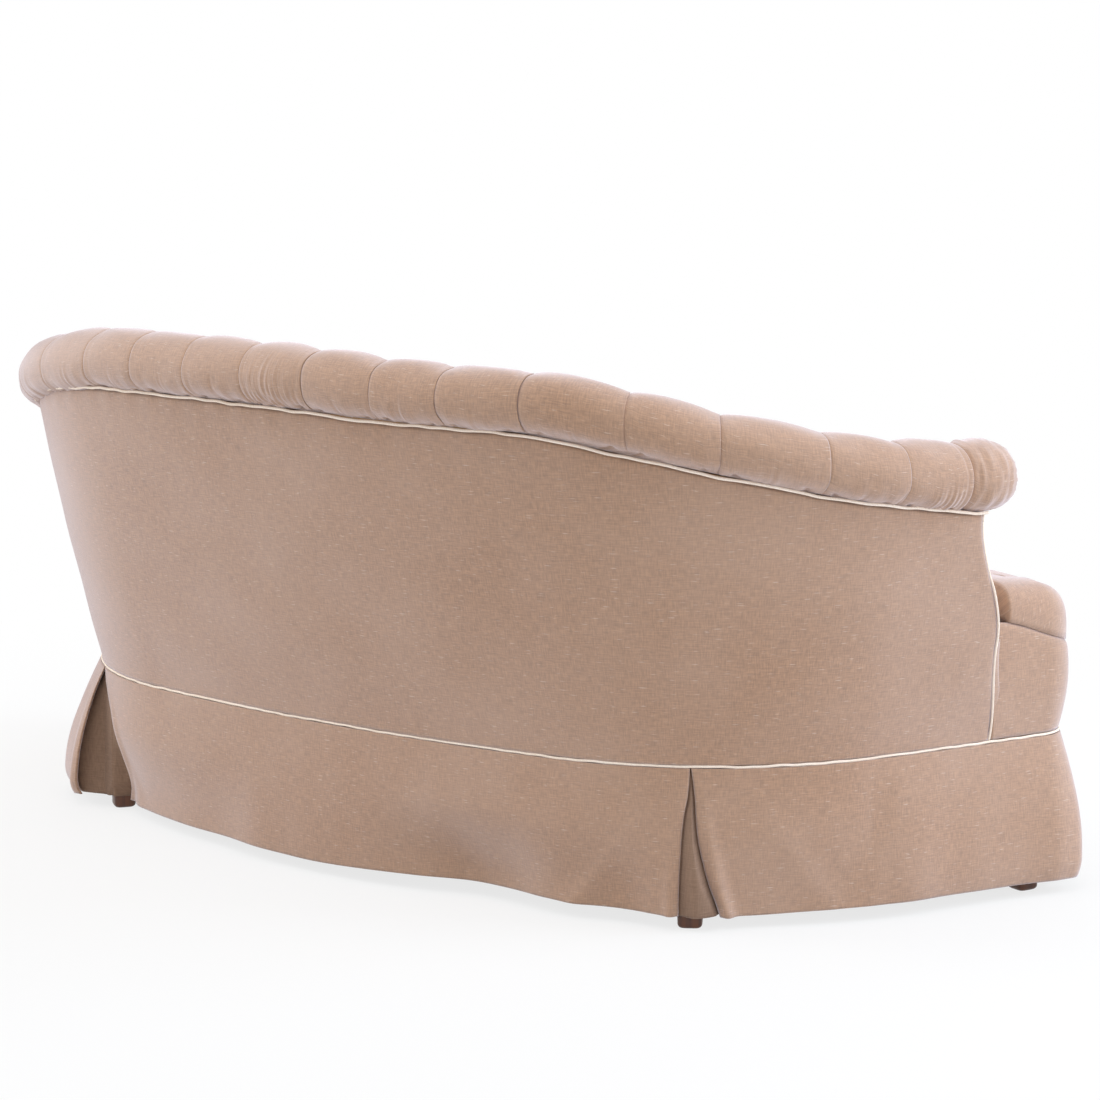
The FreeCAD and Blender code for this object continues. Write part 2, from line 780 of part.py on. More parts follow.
def make_frame():
    """All the beech members, butted and housed in each other."""
    parts = {}
    rail_outer = -frame_face
    rail_inner = rail_outer - rail_thickness
    corner_from = corner_start - corner_post_reach
    corner_to = corner_end + corner_post_reach
    rails = {
        "back_seat_rail": (-foot_place, foot_place),
        "side_seat_rail_left": (foot_place, corner_from),
        "side_seat_rail_right": (-corner_from, -foot_place),
    }
    for name, (a, b) in rails.items():
        parts[name] = band(a, b, rail_inner, rail_outer, rail_bottom, rail_top)
    front = band(corner_to, half_length, rail_inner, rail_outer, rail_bottom, rail_top)
    mirrored = front.mirror(V(0, 0, 0), V(1, 0, 0))
    parts["front_seat_rail"] = front.fuse(mirrored).removeSplitter()
    for word, side in (("left", 1), ("right", -1)):
        parts["front_corner_post_" + word] = band(
            side * corner_from, side * corner_to, rail_inner, rail_outer, rail_bottom, rail_top)
    posts = {}
    for word, side in (("left", 1), ("right", -1)):
        posts["back_post_" + word] = make_post(side * foot_place, rail_bottom)
        posts["back_upright_" + word] = make_post(side * upright_place, rail_top)
        posts["arm_post_" + word] = make_arm_post(side)
    for word in ("left", "right"):
        post = posts["back_post_" + word]
        for name in ("back_seat_rail", "side_seat_rail_" + word):
            parts[name] = parts[name].cut(post)
    tops = make_top_rails()
    for name, post in posts.items():
        for rail in tops.values():
            post = post.cut(rail)
        # A cut may leave a sliver beside the leaning rail; only the post itself stays.
        parts[name] = max(post.Solids, key=lambda solid: solid.Volume)
    parts.update(tops)
    parts["tack_rail"] = make_tack_rail()
    back, front = parts["back_seat_rail"], parts["front_seat_rail"]
    for word, side in (("left", 1), ("right", -1)):
        bar = Part.makeBox(cross_rail_width, front_depth, cross_rail_top - cross_rail_bottom,
                           V(side * cross_rail_place - cross_rail_width / 2.0,
                             -front_depth, cross_rail_bottom))
        inner = Part.Face(inner_wire(rail_inner, cross_rail_bottom)).extrude(V(0, 0, rail_top))
        parts["seat_cross_rail_" + word] = bar.common(inner).cut(back).cut(front)
        s0 = side * (corner_start - corner_block_reach)
        s1 = side * (corner_end + corner_block_reach)
        edges = run_edges(s0, s1, rail_inner, corner_block_bottom)
        chord = line(edges[-1].Vertexes[-1].Point, edges[0].Vertexes[0].Point)
        block = Part.Face(Part.Wire(edges + [chord]))
        parts["corner_block_" + word] = block.extrude(V(0, 0, corner_block_top - corner_block_bottom))
    return parts


def inner_wire(offset, z):
    """The whole outline at an offset, as a closed wire."""
    edges = run_edges(0.0, half_length, offset, z)
    edges += run_edges(-half_length, 0.0, offset, z)
    return Part.Wire(edges)


# Feet

def foot_ring(s, size, z):
    """Square with eased corners, its outer face fixed and its size taken off the inner side."""
    half = size / 2.0
    ease = foot_round * size / foot_top
    centre = spot(s, -foot_inset - half, z)
    points = []
    for i in range(12):
        quarter, part = divmod(i, 3)
        turn = math.radians(90.0 * quarter + 45.0 * part)
        pivot = math.radians(90.0 * quarter + 45.0)
        a = (half - ease) * math.copysign(1.0, math.cos(pivot)) + ease * math.cos(turn)
        b = (half - ease) * math.copysign(1.0, math.sin(pivot)) + ease * math.sin(turn)
        points.append(centre + along(s) * a + outward(s) * b)
    return points


def foot_places():
    """Name and distance s of each foot."""
    front = corner_start - corner_post_reach + foot_top / 2.0
    return {"foot_back_left": foot_place, "foot_back_right": -foot_place,
            "foot_front_left": front, "foot_front_right": -front}


def make_feet(parts):
    """Four tapered feet, each bored for its bolt; the bolts and the bores above them."""
    bolts = []
    for name, s in foot_places().items():
        foot = flat_loft([foot_ring(s, foot_bottom, 0.0), foot_ring(s, foot_top, rail_bottom)])
        low = rail_bottom - bolt_in_foot
        base = spot(s, -bolt_inset, low)
        bolts.append(Part.makeCylinder(bolt_radius, bolt_length, base))
        bore = Part.makeCylinder(bolt_radius + bolt_clearance, bolt_length + 2 * bolt_clearance,
                                 base - V(0, 0, bolt_clearance))
        parts[name] = foot.cut(bore)
        word = name.split("_")[2]
        above = ("back_post_" if "back" in name else "front_corner_post_") + word
        parts[above] = parts[above].cut(bore)
    parts["foot_bolts"] = Part.makeCompound(bolts)


# Seat

def seat_ring(z, out, gap, inset=0.0):
    """Plan of the T-shaped seat at a height: out is its offset at the front and ears."""
    edge = arm_edge(seat_seam_height) + ear_gap + inset
    rear = [s for s in full_half_stations() if 0.0 <= s < last_pleat] + [last_pleat, edge]
    half = []
    for s in rear:
        n = inner_crown(min(s, last_pleat), min(z, seat_height)) - gap
        half.append((s, n))
    half += [(s, out) for s in stations(edge, corner_start, half_pitch)[:-1]]
    half += [(s, out) for s in corner_places(corner_start, half_length)]
    points = [spot(s, n, z) for s, n in half]
    return points + [V(-p.x, p.y, p.z) for p in reversed(points[1:-1])]


def make_seat_pad():
    """Seat stuffing: a core inside the borders, a bull-nosed edge and a crowned top."""
    low = rail_top + spring_lift + spring_wire + clip_thickness + hessian_thickness + 3 * fit
    inner = -cover_thickness - fit
    rise = seat_height - seat_seam_height
    rings = [seat_ring(z, inner, seat_back_gap + fit, fit) for z in (low, seat_seam_height)]
    for degrees in (0.0, 20.0, 40.0, 65.0, 90.0):
        a = math.radians(degrees)
        out = seat_edge_swell + nose_swell * math.sin(2 * a) - nose_radius * (1.0 - math.cos(a))
        gap = seat_back_gap + seat_back_ease * (1.0 - math.cos(a))
        rings.append(seat_ring(seat_seam_height + rise * math.sin(a), out, gap))
    middle = V(0, -front_depth * seat_middle, seat_height)
    rings.append([middle + (p - middle) * crown_share + V(0, 0, seat_crown) for p in rings[-1]])
    return flat_loft(rings)


def border_profile(s):
    """Section of the border under the seat seam, swelling over the rail."""
    low = skirt_height + piping_radius + piping_seat
    high = seat_seam_height - fit
    swollen = (border_swell, (low + high) / 2.0)
    path = [(border_foot_swell, low), (swollen, (seat_edge_swell, high)), (-cover_thickness, high)]
    return (-cover_thickness, low), path


def across_front(s0, profile):
    """Loft a section from s0 round the front to its mirror image."""
    rings = [section(s, *profile(s)) for s in corner_places(s0, half_length)]
    rings += [[V(-p.x, p.y, p.z) for p in ring] for ring in reversed(rings[:-1])]
    return flat_loft(rings)


def make_seat_borders():
    """Front border between the corners and a side border on each ear."""
    start = arm_edge(seat_seam_height) - piping_radius
    parts = {"seat_border_front": across_front(corner_middle + fit, border_profile)}
    for word, side in (("left", 1), ("right", -1)):
        places = [side * s for s in side_places(start, corner_middle - fit)]
        border = along_outline(places, border_profile)
        parts["seat_border_" + word] = border.common(arm_edge_cutter(side, piping_radius + piping_seat))
    return parts


def front_face(x, offset):
    """Y of the outline's front at an x."""
    reach = front_radius + offset
    return front_radius - front_depth - math.sqrt(reach * reach - x * x)


def back_face(x, offset):
    """Y of the back rail's inner face at an x."""
    low, high = 0.0, corner_start
    for _ in range(50):
        mid = (low + high) / 2.0
        if spot(mid, offset, 0).x < abs(x):
            low = mid
        else:
            high = mid
    return spot(low, offset, 0).y


def make_springs():
    """Flat zigzag springs from the back rail to the front rail, their clips and two ties."""
    springs, clips, ties = [], [], []
    rail_mid = -frame_face - rail_thickness / 2.0
    low = rail_top + spring_lift
    half = spring_wire / 2.0
    for i in range(spring_count):
        x0 = (i - (spring_count - 1) / 2.0) * spring_spacing
        y0, y1 = front_face(x0, rail_mid), back_face(x0, rail_mid)
        step = (y1 - y0) / spring_loops
        route = [(x0, y0)]
        for k in range(spring_loops):
            side = spring_half_width if k % 2 else -spring_half_width
            for share in (-spring_straight, spring_straight):
                route.append((x0 + side, y0 + step * (k + (1.0 + share) / 2.0)))
        route.append((x0, y1))
        springs.append(flat_wire(route, half, low, spring_wire))
        for y, ahead in ((y0, -1.0), (y1, 1.0)):
            clips.append(make_clip(x0, y, ahead, low))
    reach = (spring_count - 1) / 2.0 * spring_spacing + spring_half_width
    for y in tie_places:
        ties.append(Part.makeCylinder(tie_radius, 2 * reach, V(-reach, y, low - tie_radius - spring_lift),
                                      V(1, 0, 0)))
    return {"seat_springs": Part.makeCompound(springs), "spring_clips": Part.makeCompound(clips),
            "spring_ties": Part.makeCompound(ties)}


def flat_wire(route, half, low, height):
    """Give a flat polyline a width and a height, its corners mitred."""
    left, right = [], []
    for i, (x, y) in enumerate(route):
        before = route[max(i - 1, 0)]
        after = route[min(i + 1, len(route) - 1)]
        d0 = unit(x - before[0], y - before[1]) if i else unit(after[0] - x, after[1] - y)
        d1 = unit(after[0] - x, after[1] - y) if i < len(route) - 1 else d0
        nx, ny = -(d0[1] + d1[1]), d0[0] + d1[0]
        size = math.hypot(nx, ny)
        nx, ny = nx / size, ny / size
        reach = half / max(nx * -d0[1] + ny * d0[0], mitre_least)
        left.append(V(x + nx * reach, y + ny * reach, low))
        right.append(V(x - nx * reach, y - ny * reach, low))
    ring = left + right[::-1]
    return flat_face(ring).extrude(V(0, 0, height))


def unit(x, y):
    """Return the direction of (x, y)."""
    size = math.hypot(x, y)
    return x / size, y / size


def make_clip(x, y, ahead, low):
    """Bent plate over a spring's end, its leg on the rail."""
    half = clip_length / 2.0
    above = low + spring_wire + spring_lift
    start = spring_wire / 2.0 + spring_lift
    tail = start + clip_thickness + 2 * fit
    rows = [(-half, above), (tail, above), (tail, rail_top), (tail + clip_thickness, rail_top),
            (tail + clip_thickness, above + clip_thickness), (-half, above + clip_thickness)]
    points = [V(x - half / 2.0, y + ahead * a, z) for a, z in rows]
    return flat_face(points).extrude(V(half, 0, 0))


def make_seat_hessian():
    """Hessian over the springs."""
    low = rail_top + 2 * spring_lift + spring_wire + clip_thickness + fit
    inset = -frame_face - rail_thickness * 0.3
    plan = flat_face(seat_ring(low, inset, seat_back_gap + seat_back_ease))
    return plan.extrude(V(0, 0, hessian_thickness))


def make_webbing():
    """Upright strips of webbing from the tack rail to the top rail."""
    strips = []
    spacing = 3 * half_pitch
    place = spacing / 2.0
    while place < last_pleat - web_width / 2.0:
        for side in (1, -1):
            s = side * place
            low, high = tack_rail_top, top_height(s) - top_rail_height + web_lap
            rows = [(base_line(s, low) - web_clearance, low), (base_line(s, high) - web_clearance, high)]
            rows += [(n - web_thickness, z) for n, z in reversed(rows)]
            points = [spot(s, n, z) - along(s) * (web_width / 2.0) for n, z in rows]
            strips.append(flat_face(points).extrude(along(s) * web_width))
        place += spacing
    return Part.makeCompound(strips)


def make_back_hessian():
    """Hessian over the webbing."""
    def profile(s):
        low, high = tack_rail_top, top_height(s) - fit
        shift = web_clearance + web_thickness + hessian_clearance
        a, b = base_line(s, low) - shift, base_line(s, high) - shift
        t = hessian_thickness
        return (a, low), [(b, high), (b - t, high), (a - t, low)]

    return along_outline(full_stations(last_pleat), profile)


# Skirt

def hem_offset(s, pleats):
    """Offset of the hem: drawn in between the kick pleats, flared at them and on the left."""
    near = min(abs(abs(s) - pleat) for pleat in pleats)
    lift = 1.0 - smooth(near / flare_run)
    left = 1.0 - smooth(abs(s - left_flare_place) / left_flare_run)
    return -hem_draw_in + (hem_draw_in + hem_flare) * lift + left_flare * left


def skirt_profile(pleats):
    """Section of a skirt panel: down over the rail, then in or out to the hem."""
    top = skirt_height - piping_radius - piping_seat

    def profile(s):
        hem = hem_offset(s, pleats)
        knee = skirt_knee + max(hem, 0.0) * knee_share
        mid = knee + (hem - knee) * fall_share
        t = cover_thickness
        rows = [(knee, rail_bottom), (mid, (rail_bottom + hem_height) / 2.0), (hem, hem_height)]
        return (0.0, top), rows + [(n + t, z) for n, z in reversed(rows)] + [(t, top)]

    return profile


def make_skirt():
    """Four panels that part at the kick pleats, and an underlay behind each."""
    parts = {}
    pleats = (foot_place, corner_middle)
    gap = skirt_panel_gap
    profile = skirt_profile(pleats)
    back = stations(-foot_place + gap, foot_place - gap, half_pitch)
    parts["skirt_back"] = along_outline(back, profile)
    for word, side in (("left", 1), ("right", -1)):
        places = [side * s for s in side_places(foot_place + gap, corner_middle - gap)]
        parts["skirt_" + word] = along_outline(places, profile)
    parts["skirt_front"] = across_front(corner_middle + gap, profile)
    top = skirt_height - piping_radius - piping_seat
    t = cover_thickness
    for word, s0 in (("back_left", foot_place), ("back_right", -foot_place),
                     ("front_left", corner_middle), ("front_right", -corner_middle)):
        def under(s, middle=s0):
            near = abs(s - middle) / underlay_half_width
            hem = underlay_flare * (1.0 - near * near)
            low = hem_height + fit
            return (-t - under_gap, top), [(hem - t - under_gap, low), (hem - under_gap, low),
                                           (-under_gap, top)]
        step = corner_step if "front" in word else underlay_half_width / 2.0
        places = stations(s0 - underlay_half_width, s0 + underlay_half_width, step)
        parts["pleat_underlay_" + word] = along_outline(places, under)
    return parts


def corner_places(s0, s1):
    """Stations close together round the front corner and wide apart along the front."""
    return stations(s0, corner_end, corner_step) + stations(corner_end, s1, button_pitch)[1:]


def side_places(s0, s1):
    """Stations along an arm and close together into the front corner."""
    return stations(s0, corner_start, half_pitch) + stations(corner_start, s1, corner_step)[1:]


def make_dust_cover():
    """Thin cloth under the seat rails."""
    low = rail_bottom - dust_cover_thickness
    sheet = Part.Face(inner_wire(-dust_cover_inset, low)).extrude(V(0, 0, dust_cover_thickness))
    for s in foot_places().values():
        half = foot_top / 2.0 + fit
        centre = spot(s, -foot_inset - foot_top / 2.0, low)
        u, v = along(s) * half, outward(s) * half
        points = [centre + u + v, centre - u + v, centre - u - v, centre + u - v]
        sheet = sheet.cut(flat_face(points).extrude(V(0, 0, dust_cover_thickness)))
    return sheet


def make_parts():
    """Build every piece and return them by name."""
    parts = make_frame()
    make_feet(parts)
    parts.update(make_springs())
    parts["seat_hessian"] = make_seat_hessian()
    parts["seat_pad"] = make_seat_pad()
    parts.update(make_seat_borders())
    parts["back_webbing"] = make_webbing()
    parts["back_hessian"] = make_back_hessian()
    parts["inside_back"] = make_inside_back()
    parts["back_roll"] = make_roll()
    parts["back_buttons"] = make_buttons()
    parts["outside_back"] = make_outside_back()
    for word, side in (("left", 1), ("right", -1)):
        parts["arm_front_" + word] = make_arm_front(side)
        parts["arm_post_" + word] = parts["arm_post_" + word].cut(parts["arm_front_" + word])
        parts["arm_piping_" + word] = make_arm_cord(side)
    reach = arm_edge(arm_height)
    places = [-reach] + [s for s in full_half_stations() if abs(s) < reach - 5.0] + [reach]
    parts["top_piping"] = make_cord(places, lambda s: (top_lean(s) + piping_seat, top_height(s)))
    parts["skirt_piping"] = make_skirt_piping()
    parts.update(make_skirt())
    parts["dust_cover"] = make_dust_cover()
    return parts


def make_skirt_piping():
    """Cord round the whole outline, where the skirt hangs."""
    half = stations(0.0, corner_start, half_pitch)[:-1] + corner_places(corner_start, half_length)

    def ring(s):
        return cord_ring(lambda a, b: spot(s, piping_seat + a, skirt_height + b))

    right = [ring(s) for s in half]
    left = [[V(-p.x, p.y, p.z) for p in points] for points in reversed(right)]
    return flat_loft(right).fuse(flat_loft(left)).removeSplitter()


def main():
    """Write one STEP file for each piece, with the origin at the centre of the footprint."""
    parts = make_parts()
    box = Part.makeCompound(list(parts.values())).optimalBoundingBox(False, False)
    centre = V(-(box.XMin + box.XMax) / 2.0, -(box.YMin + box.YMax) / 2.0, 0)
    os.makedirs("parts", exist_ok=True)
    for name, shape in parts.items():
        shape.translate(centre)
        shape.exportStep(os.path.join("parts", name + ".step"))
    print("pieces", len(parts), "size", round(box.XLength, 1), round(box.YLength, 1), round(box.ZLength, 1),
          "shift", round(centre.y, 2))


main()
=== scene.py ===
"""Visual model of a curved settee with a buttoned, rolled back and a kick-pleated skirt.

Lengths are metres. A place is s, the distance along the outline of the skirt-top cord from the
middle of the back, n, the distance outwards from it, and z, the height.
"""
import json
import math

import bmesh
import bpy
import numpy as np
from bpy.props import FloatProperty, FloatVectorProperty, PointerProperty
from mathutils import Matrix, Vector


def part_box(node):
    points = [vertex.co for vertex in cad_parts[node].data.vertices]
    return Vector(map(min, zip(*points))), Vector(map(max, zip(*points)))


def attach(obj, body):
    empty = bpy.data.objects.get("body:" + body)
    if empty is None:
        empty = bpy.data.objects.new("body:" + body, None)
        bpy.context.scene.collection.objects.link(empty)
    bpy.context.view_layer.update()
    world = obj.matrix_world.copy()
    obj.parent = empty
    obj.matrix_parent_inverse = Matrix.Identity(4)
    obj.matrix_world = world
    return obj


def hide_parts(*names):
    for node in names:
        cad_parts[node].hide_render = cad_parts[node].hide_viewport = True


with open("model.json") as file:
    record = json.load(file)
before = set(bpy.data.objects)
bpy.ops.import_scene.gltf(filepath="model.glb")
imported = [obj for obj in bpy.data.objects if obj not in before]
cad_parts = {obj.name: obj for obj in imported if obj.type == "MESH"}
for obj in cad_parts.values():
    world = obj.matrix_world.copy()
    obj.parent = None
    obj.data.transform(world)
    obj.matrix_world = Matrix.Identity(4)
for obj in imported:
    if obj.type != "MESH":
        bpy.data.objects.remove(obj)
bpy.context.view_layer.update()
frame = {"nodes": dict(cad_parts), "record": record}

bl_info = {
    "name": "Curved settee",
    "version": (1, 0, 0),
    "blender": (4, 5, 0),
    "location": "View3D > Sidebar > Settee",
    "description": "Upholstery, cords, feet and finishes of a curved, buttoned settee",
    "category": "Add Mesh",
}

MM = 0.001

# The outline in plan: radius and the turn, in degrees from the middle of the back, where each arc ends
BACK_RADIUS, BACK_SWEEP = 2.790, 8.0
CORNER_RADIUS, ARM_START = 0.440, 68.0
ARM_RADIUS = 7.300
FRONT_CORNER_RADIUS = 0.050
FRONT_RADIUS, FRONT_DEPTH = 8.000, 0.688

# Lines of the back
SKIRT_HEIGHT, HEM_HEIGHT = 0.2297, 0.018
CREST_HEIGHT, ARM_HEIGHT = 0.698, 0.569
BACK_LEAN, ARM_LEAN = 0.132, 0.078
CREST_HALF_WIDTH = 0.277
ARM_BELLY, ARM_SCROLL = 0.021, 0.057
SEAM_HEIGHT, SEAT_HEIGHT, SEAT_CROWN = 0.380, 0.456, 0.009
CAD_CORD_RADIUS, CAD_CORD_SEAT = 0.003, 0.0004
EAR_REACH, FALL_SETBACK, LEAN_SETBACK, LAST_PLEAT_SETBACK = 0.1027, 0.044, 0.250, 0.0975
FOOT_PLACE = 0.587
RAIL_BOTTOM = 0.150
UPPER_ROW, LOWER_ROW = 0.70, 0.30
CHANNELS = 8.5                 # pitches from the middle of the back to its last pleat

# Layers of the back, as distances in from the outside cover or from the webbing's line
TACK_RAIL_TOP = 0.375
WEB_LOW_INSET, WEB_HIGH_INSET = 0.0588, 0.0388
STUFFING_BACK, STUFFING_FOOT = 0.0063, 0.337
STUFFING_SEAT, STUFFING_THINS = 0.062, 0.036

# The roll: its radius over the middle, what it gains towards an arm, its lip past the cord, the
# height of its centre above the cord by its radius, and its reach past an arm's front
ROLL_RADIUS, ROLL_GAIN, ROLL_LIP, ROLL_SQUASH, ROLL_OVERHANG = 0.0485, 0.0065, 0.0335, 0.86, 0.053

# The skirt, its underlays and the feet
CLOTH, PLEAT_GAP, UNDERLAY_HALF = 0.0016, 0.0008, 0.066
FOOT_HALF, FOOT_TAPER, TOE = 0.017, 0.006, 0.0060

MIRROR = np.array([-1.0, 1.0, 1.0])
WHITE = (1.0, 1.0, 1.0, 1.0)


def smooth(t):
    """Rise from 0 to 1 with level ends: 3 t^2 - 2 t^3."""
    t = np.clip(t, 0.0, 1.0)
    return t * t * (3.0 - 2.0 * t)


def outline_arcs():
    """Arcs of the outline as rows of centre x, centre y, radius, first angle, s at the start."""
    first, second = math.radians(BACK_SWEEP), math.radians(ARM_START)
    rows = [(0.0, -BACK_RADIUS, BACK_RADIUS, 0.0, first)]
    cx = (BACK_RADIUS - CORNER_RADIUS) * math.sin(first)
    cy = -BACK_RADIUS + (BACK_RADIUS - CORNER_RADIUS) * math.cos(first)
    rows.append((cx, cy, CORNER_RADIUS, first, second))
    cx += (CORNER_RADIUS - ARM_RADIUS) * math.sin(second)
    cy += (CORNER_RADIUS - ARM_RADIUS) * math.cos(second)
    fy = FRONT_RADIUS - FRONT_DEPTH
    ra, rf = ARM_RADIUS - FRONT_CORNER_RADIUS, FRONT_RADIUS - FRONT_CORNER_RADIUS
    apart = math.hypot(cx, cy - fy)
    ahead = (ra * ra - rf * rf + apart * apart) / (2.0 * apart)
    across = math.sqrt(ra * ra - ahead * ahead)
    ux, uy = -cx / apart, (fy - cy) / apart
    kx, ky = cx + ahead * ux + across * uy, cy + ahead * uy - across * ux
    third = math.atan2(kx - cx, ky - cy)
    fourth = math.atan2(kx, ky - fy)
    rows.append((cx, cy, ARM_RADIUS, second, third))
    rows.append((kx, ky, FRONT_CORNER_RADIUS, third, fourth))
    rows.append((0.0, fy, FRONT_RADIUS, fourth, math.pi))
    starts = np.cumsum([0.0] + [row[2] * (row[4] - row[3]) for row in rows])
    return np.array([row[:4] + (start,) for row, start in zip(rows, starts)]), float(starts[-1])


ARCS, HALF_LENGTH = outline_arcs()
CORNER_START, CORNER_END = float(ARCS[3, 4]), float(ARCS[4, 4])
CORNER_MIDDLE = (CORNER_START + CORNER_END) / 2.0
ARM_FOOT_REACH = CORNER_START - EAR_REACH
FALL_END, LEAN_END = ARM_FOOT_REACH - FALL_SETBACK, ARM_FOOT_REACH - LEAN_SETBACK
PITCH = (ARM_FOOT_REACH - LAST_PLEAT_SETBACK) / CHANNELS
LAST_PLEAT = CHANNELS * PITCH
# The skirt's cord is the outermost thing on the outline, so its back gives the outline's place.
SHIFT_Y = float(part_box("skirt_piping")[1][1]) - CAD_CORD_RADIUS - CAD_CORD_SEAT


def turn_at(s):
    """Angle of the outward direction at s, from +Y towards the sitter's left."""
    t = np.minimum(np.abs(s), HALF_LENGTH)
    arc = ARCS[np.searchsorted(ARCS[:, 4], t, side="right") - 1]
    return arc, arc[..., 3] + (t - arc[..., 4]) / arc[..., 2]


def place(s, n, z):
    """Points at s, n and z: from the arc's centre outwards by its radius plus n."""
    s, n, z = np.broadcast_arrays(np.asarray(s, float), n, z)
    arc, angle = turn_at(s)
    side = np.where(s < 0.0, -1.0, 1.0)
    reach = arc[..., 2] + n
    x = side * (arc[..., 0] + reach * np.sin(angle))
    y = arc[..., 1] + reach * np.cos(angle) + SHIFT_Y
    return np.stack([x, y, z], axis=-1)


def outward(s):
    """Unit vectors out of the outline at s."""
    angle = turn_at(s)[1]
    side = np.where(np.asarray(s) < 0.0, -1.0, 1.0)
    return np.stack([side * np.sin(angle), np.cos(angle), np.zeros_like(angle)], axis=-1)


def fall(s):
    """Share of the fall from the crest to an arm, 0 in the middle and 1 at the arm's front."""
    return smooth((np.abs(s) - CREST_HALF_WIDTH) / (FALL_END - CREST_HALF_WIDTH))


def rail_top(s):
    """Height of the top of the frame under the roll."""
    return CREST_HEIGHT + (ARM_HEIGHT - CREST_HEIGHT) * fall(s)


# Where the stuffing lifts the top cord off the frame or lets it sag over its edge, in mm, by s
LIFTS = ((-0.95, -0.86, -0.80, -0.75, -0.70, -0.60, -0.54, -0.48, -0.43, -0.39, -0.345, -0.28, -0.20, -0.15,
          -0.10, -0.04, 0.04, 0.12, 0.24, 0.32, 0.38, 0.46, 0.54, 0.64, 0.74, 0.84, 0.95),
         (1.0, 3.0, 0.5, -1.5, 0.0, -1.5, 0.0, 1.0, 3.0, 2.0, -4.5, -5.5, -5.0, -4.0,
          -1.0, 1.9, 2.8, 4.8, 5.0, 5.2, 8.5, 11.0, 12.5, 11.5, 7.0, 3.0, 0.0))


def top_height(s):
    """Height of the top cord: the frame's top and the lift of the stuffing, averaged over 4 cm."""
    lift = sum(np.interp(s + shift, *LIFTS) for shift in (-0.02, -0.01, 0.0, 0.01, 0.02)) / 5.0
    return rail_top(s) + lift * MM


def top_lean(s):
    """Offset of the top cord."""
    run = smooth((np.abs(s) - CREST_HALF_WIDTH) / (LEAN_END - CREST_HALF_WIDTH))
    return BACK_LEAN + (ARM_LEAN - BACK_LEAN) * run


def skin(s, z):
    """Offset of the outside cover: a straight lean with a shallow parabola on it."""
    t = (z - SKIRT_HEIGHT) / (top_height(s) - SKIRT_HEIGHT)
    return top_lean(s) * t + 0.020 * t * (1.0 - t)


def base_line(s, z):
    """Offset of the webbing, straight from the tack rail to the top rail."""
    low = skin(s, TACK_RAIL_TOP) - WEB_LOW_INSET
    high = top_lean(s) - WEB_HIGH_INSET
    return low + (high - low) * (z - TACK_RAIL_TOP) / (rail_top(s) - TACK_RAIL_TOP)


def inner_crown(s, z):
    """Offset of the crowns of the buttoned face."""
    t = (z - SEAT_HEIGHT) / (rail_top(s) - SEAT_HEIGHT)
    return base_line(s, z) - STUFFING_BACK - (STUFFING_SEAT - STUFFING_THINS * smooth(t))


def row_height(s, share):
    """Height of a row of buttons, a share of the way from the seat to the frame's top."""
    return SEAT_HEIGHT + share * (rail_top(s) - SEAT_HEIGHT)


# Height of the seat's seam by |s|: it runs high past the arms and dips at the front corners
SEAMS = ((0.0, 1.00, 1.06, 1.10, 1.15, 1.20, 1.26, 1.33, 1.50, 2.10),
         (0.380, 0.396, 0.402, 0.393, 0.374, 0.358, 0.357, 0.362, 0.366, 0.368))
# Depth of the seat's rim below its usual height by |s|
DIPS = ((0.0, 1.08, 1.16, 1.20, 1.24, 1.30, 1.36, 2.10),
        (0.0, 0.000, 0.009, 0.0145, 0.014, 0.007, 0.002, 0.0))


def seam_height(s):
    """Height of the seat's seam, averaged over 3 cm."""
    return sum(np.interp(np.abs(s) + shift, *SEAMS) for shift in (-0.015, 0.0, 0.015)) / 3.0


def rim_height(s):
    """Height of the seat's rim, averaged over 3 cm."""
    return SEAT_HEIGHT - sum(np.interp(np.abs(s) + shift, *DIPS) for shift in (-0.015, 0.0, 0.015)) / 3.0


def arm_edge(z):
    """s of the front edge of an arm: a foot, a belly at the seat seam and a scroll above."""
    low = smooth((z - SKIRT_HEIGHT) / (SEAM_HEIGHT - SKIRT_HEIGHT))
    high = smooth((z - SEAM_HEIGHT) / (ARM_HEIGHT - SEAM_HEIGHT))
    return ARM_FOOT_REACH - ARM_BELLY * low - ARM_SCROLL * high


ARM_TOP_REACH = float(arm_edge(ARM_HEIGHT))


def arm_place(side, reach, n, z):
    """Points near an arm's front, on a straight line that touches the outline at its foot."""
    s0 = side * ARM_FOOT_REACH
    out = outward(np.array(s0))
    ahead = np.array([out[1], -out[0], 0.0]) * side
    reach, n, z = np.broadcast_arrays(reach, n, z)
    origin = place(s0, 0.0, 0.0)
    flat = origin + (reach - ARM_FOOT_REACH)[..., None] * ahead + n[..., None] * out
    return flat + z[..., None] * np.array([0.0, 0.0, 1.0])


def waves(x, y, spacing_x, spacing_y, seed, count=9):
    """Uneven ripples from about -1 to 1: the sum of plane waves of random direction and phase."""
    rng = np.random.default_rng(seed)
    total = 0.0
    for _ in range(count):
        fx, fy = rng.normal(size=2)
        phase = rng.uniform(0.0, 2.0 * math.pi)
        total = total + np.cos(2.0 * math.pi * (fx * x / spacing_x + fy * y / spacing_y) + phase)
    return total / math.sqrt(count)


def run_lengths(points, axis):
    """Length along the grid from its first row or column to each point."""
    steps = np.linalg.norm(np.diff(points, axis=axis), axis=-1)
    return np.insert(np.cumsum(steps, axis=axis), 0, 0.0, axis=axis)


def level_look(points):
    """Level directions away from the middle of the seat."""
    look = points - np.array([0.0, -0.05, 0.0])
    look[..., 2] = 0.0
    return look


# Meshes

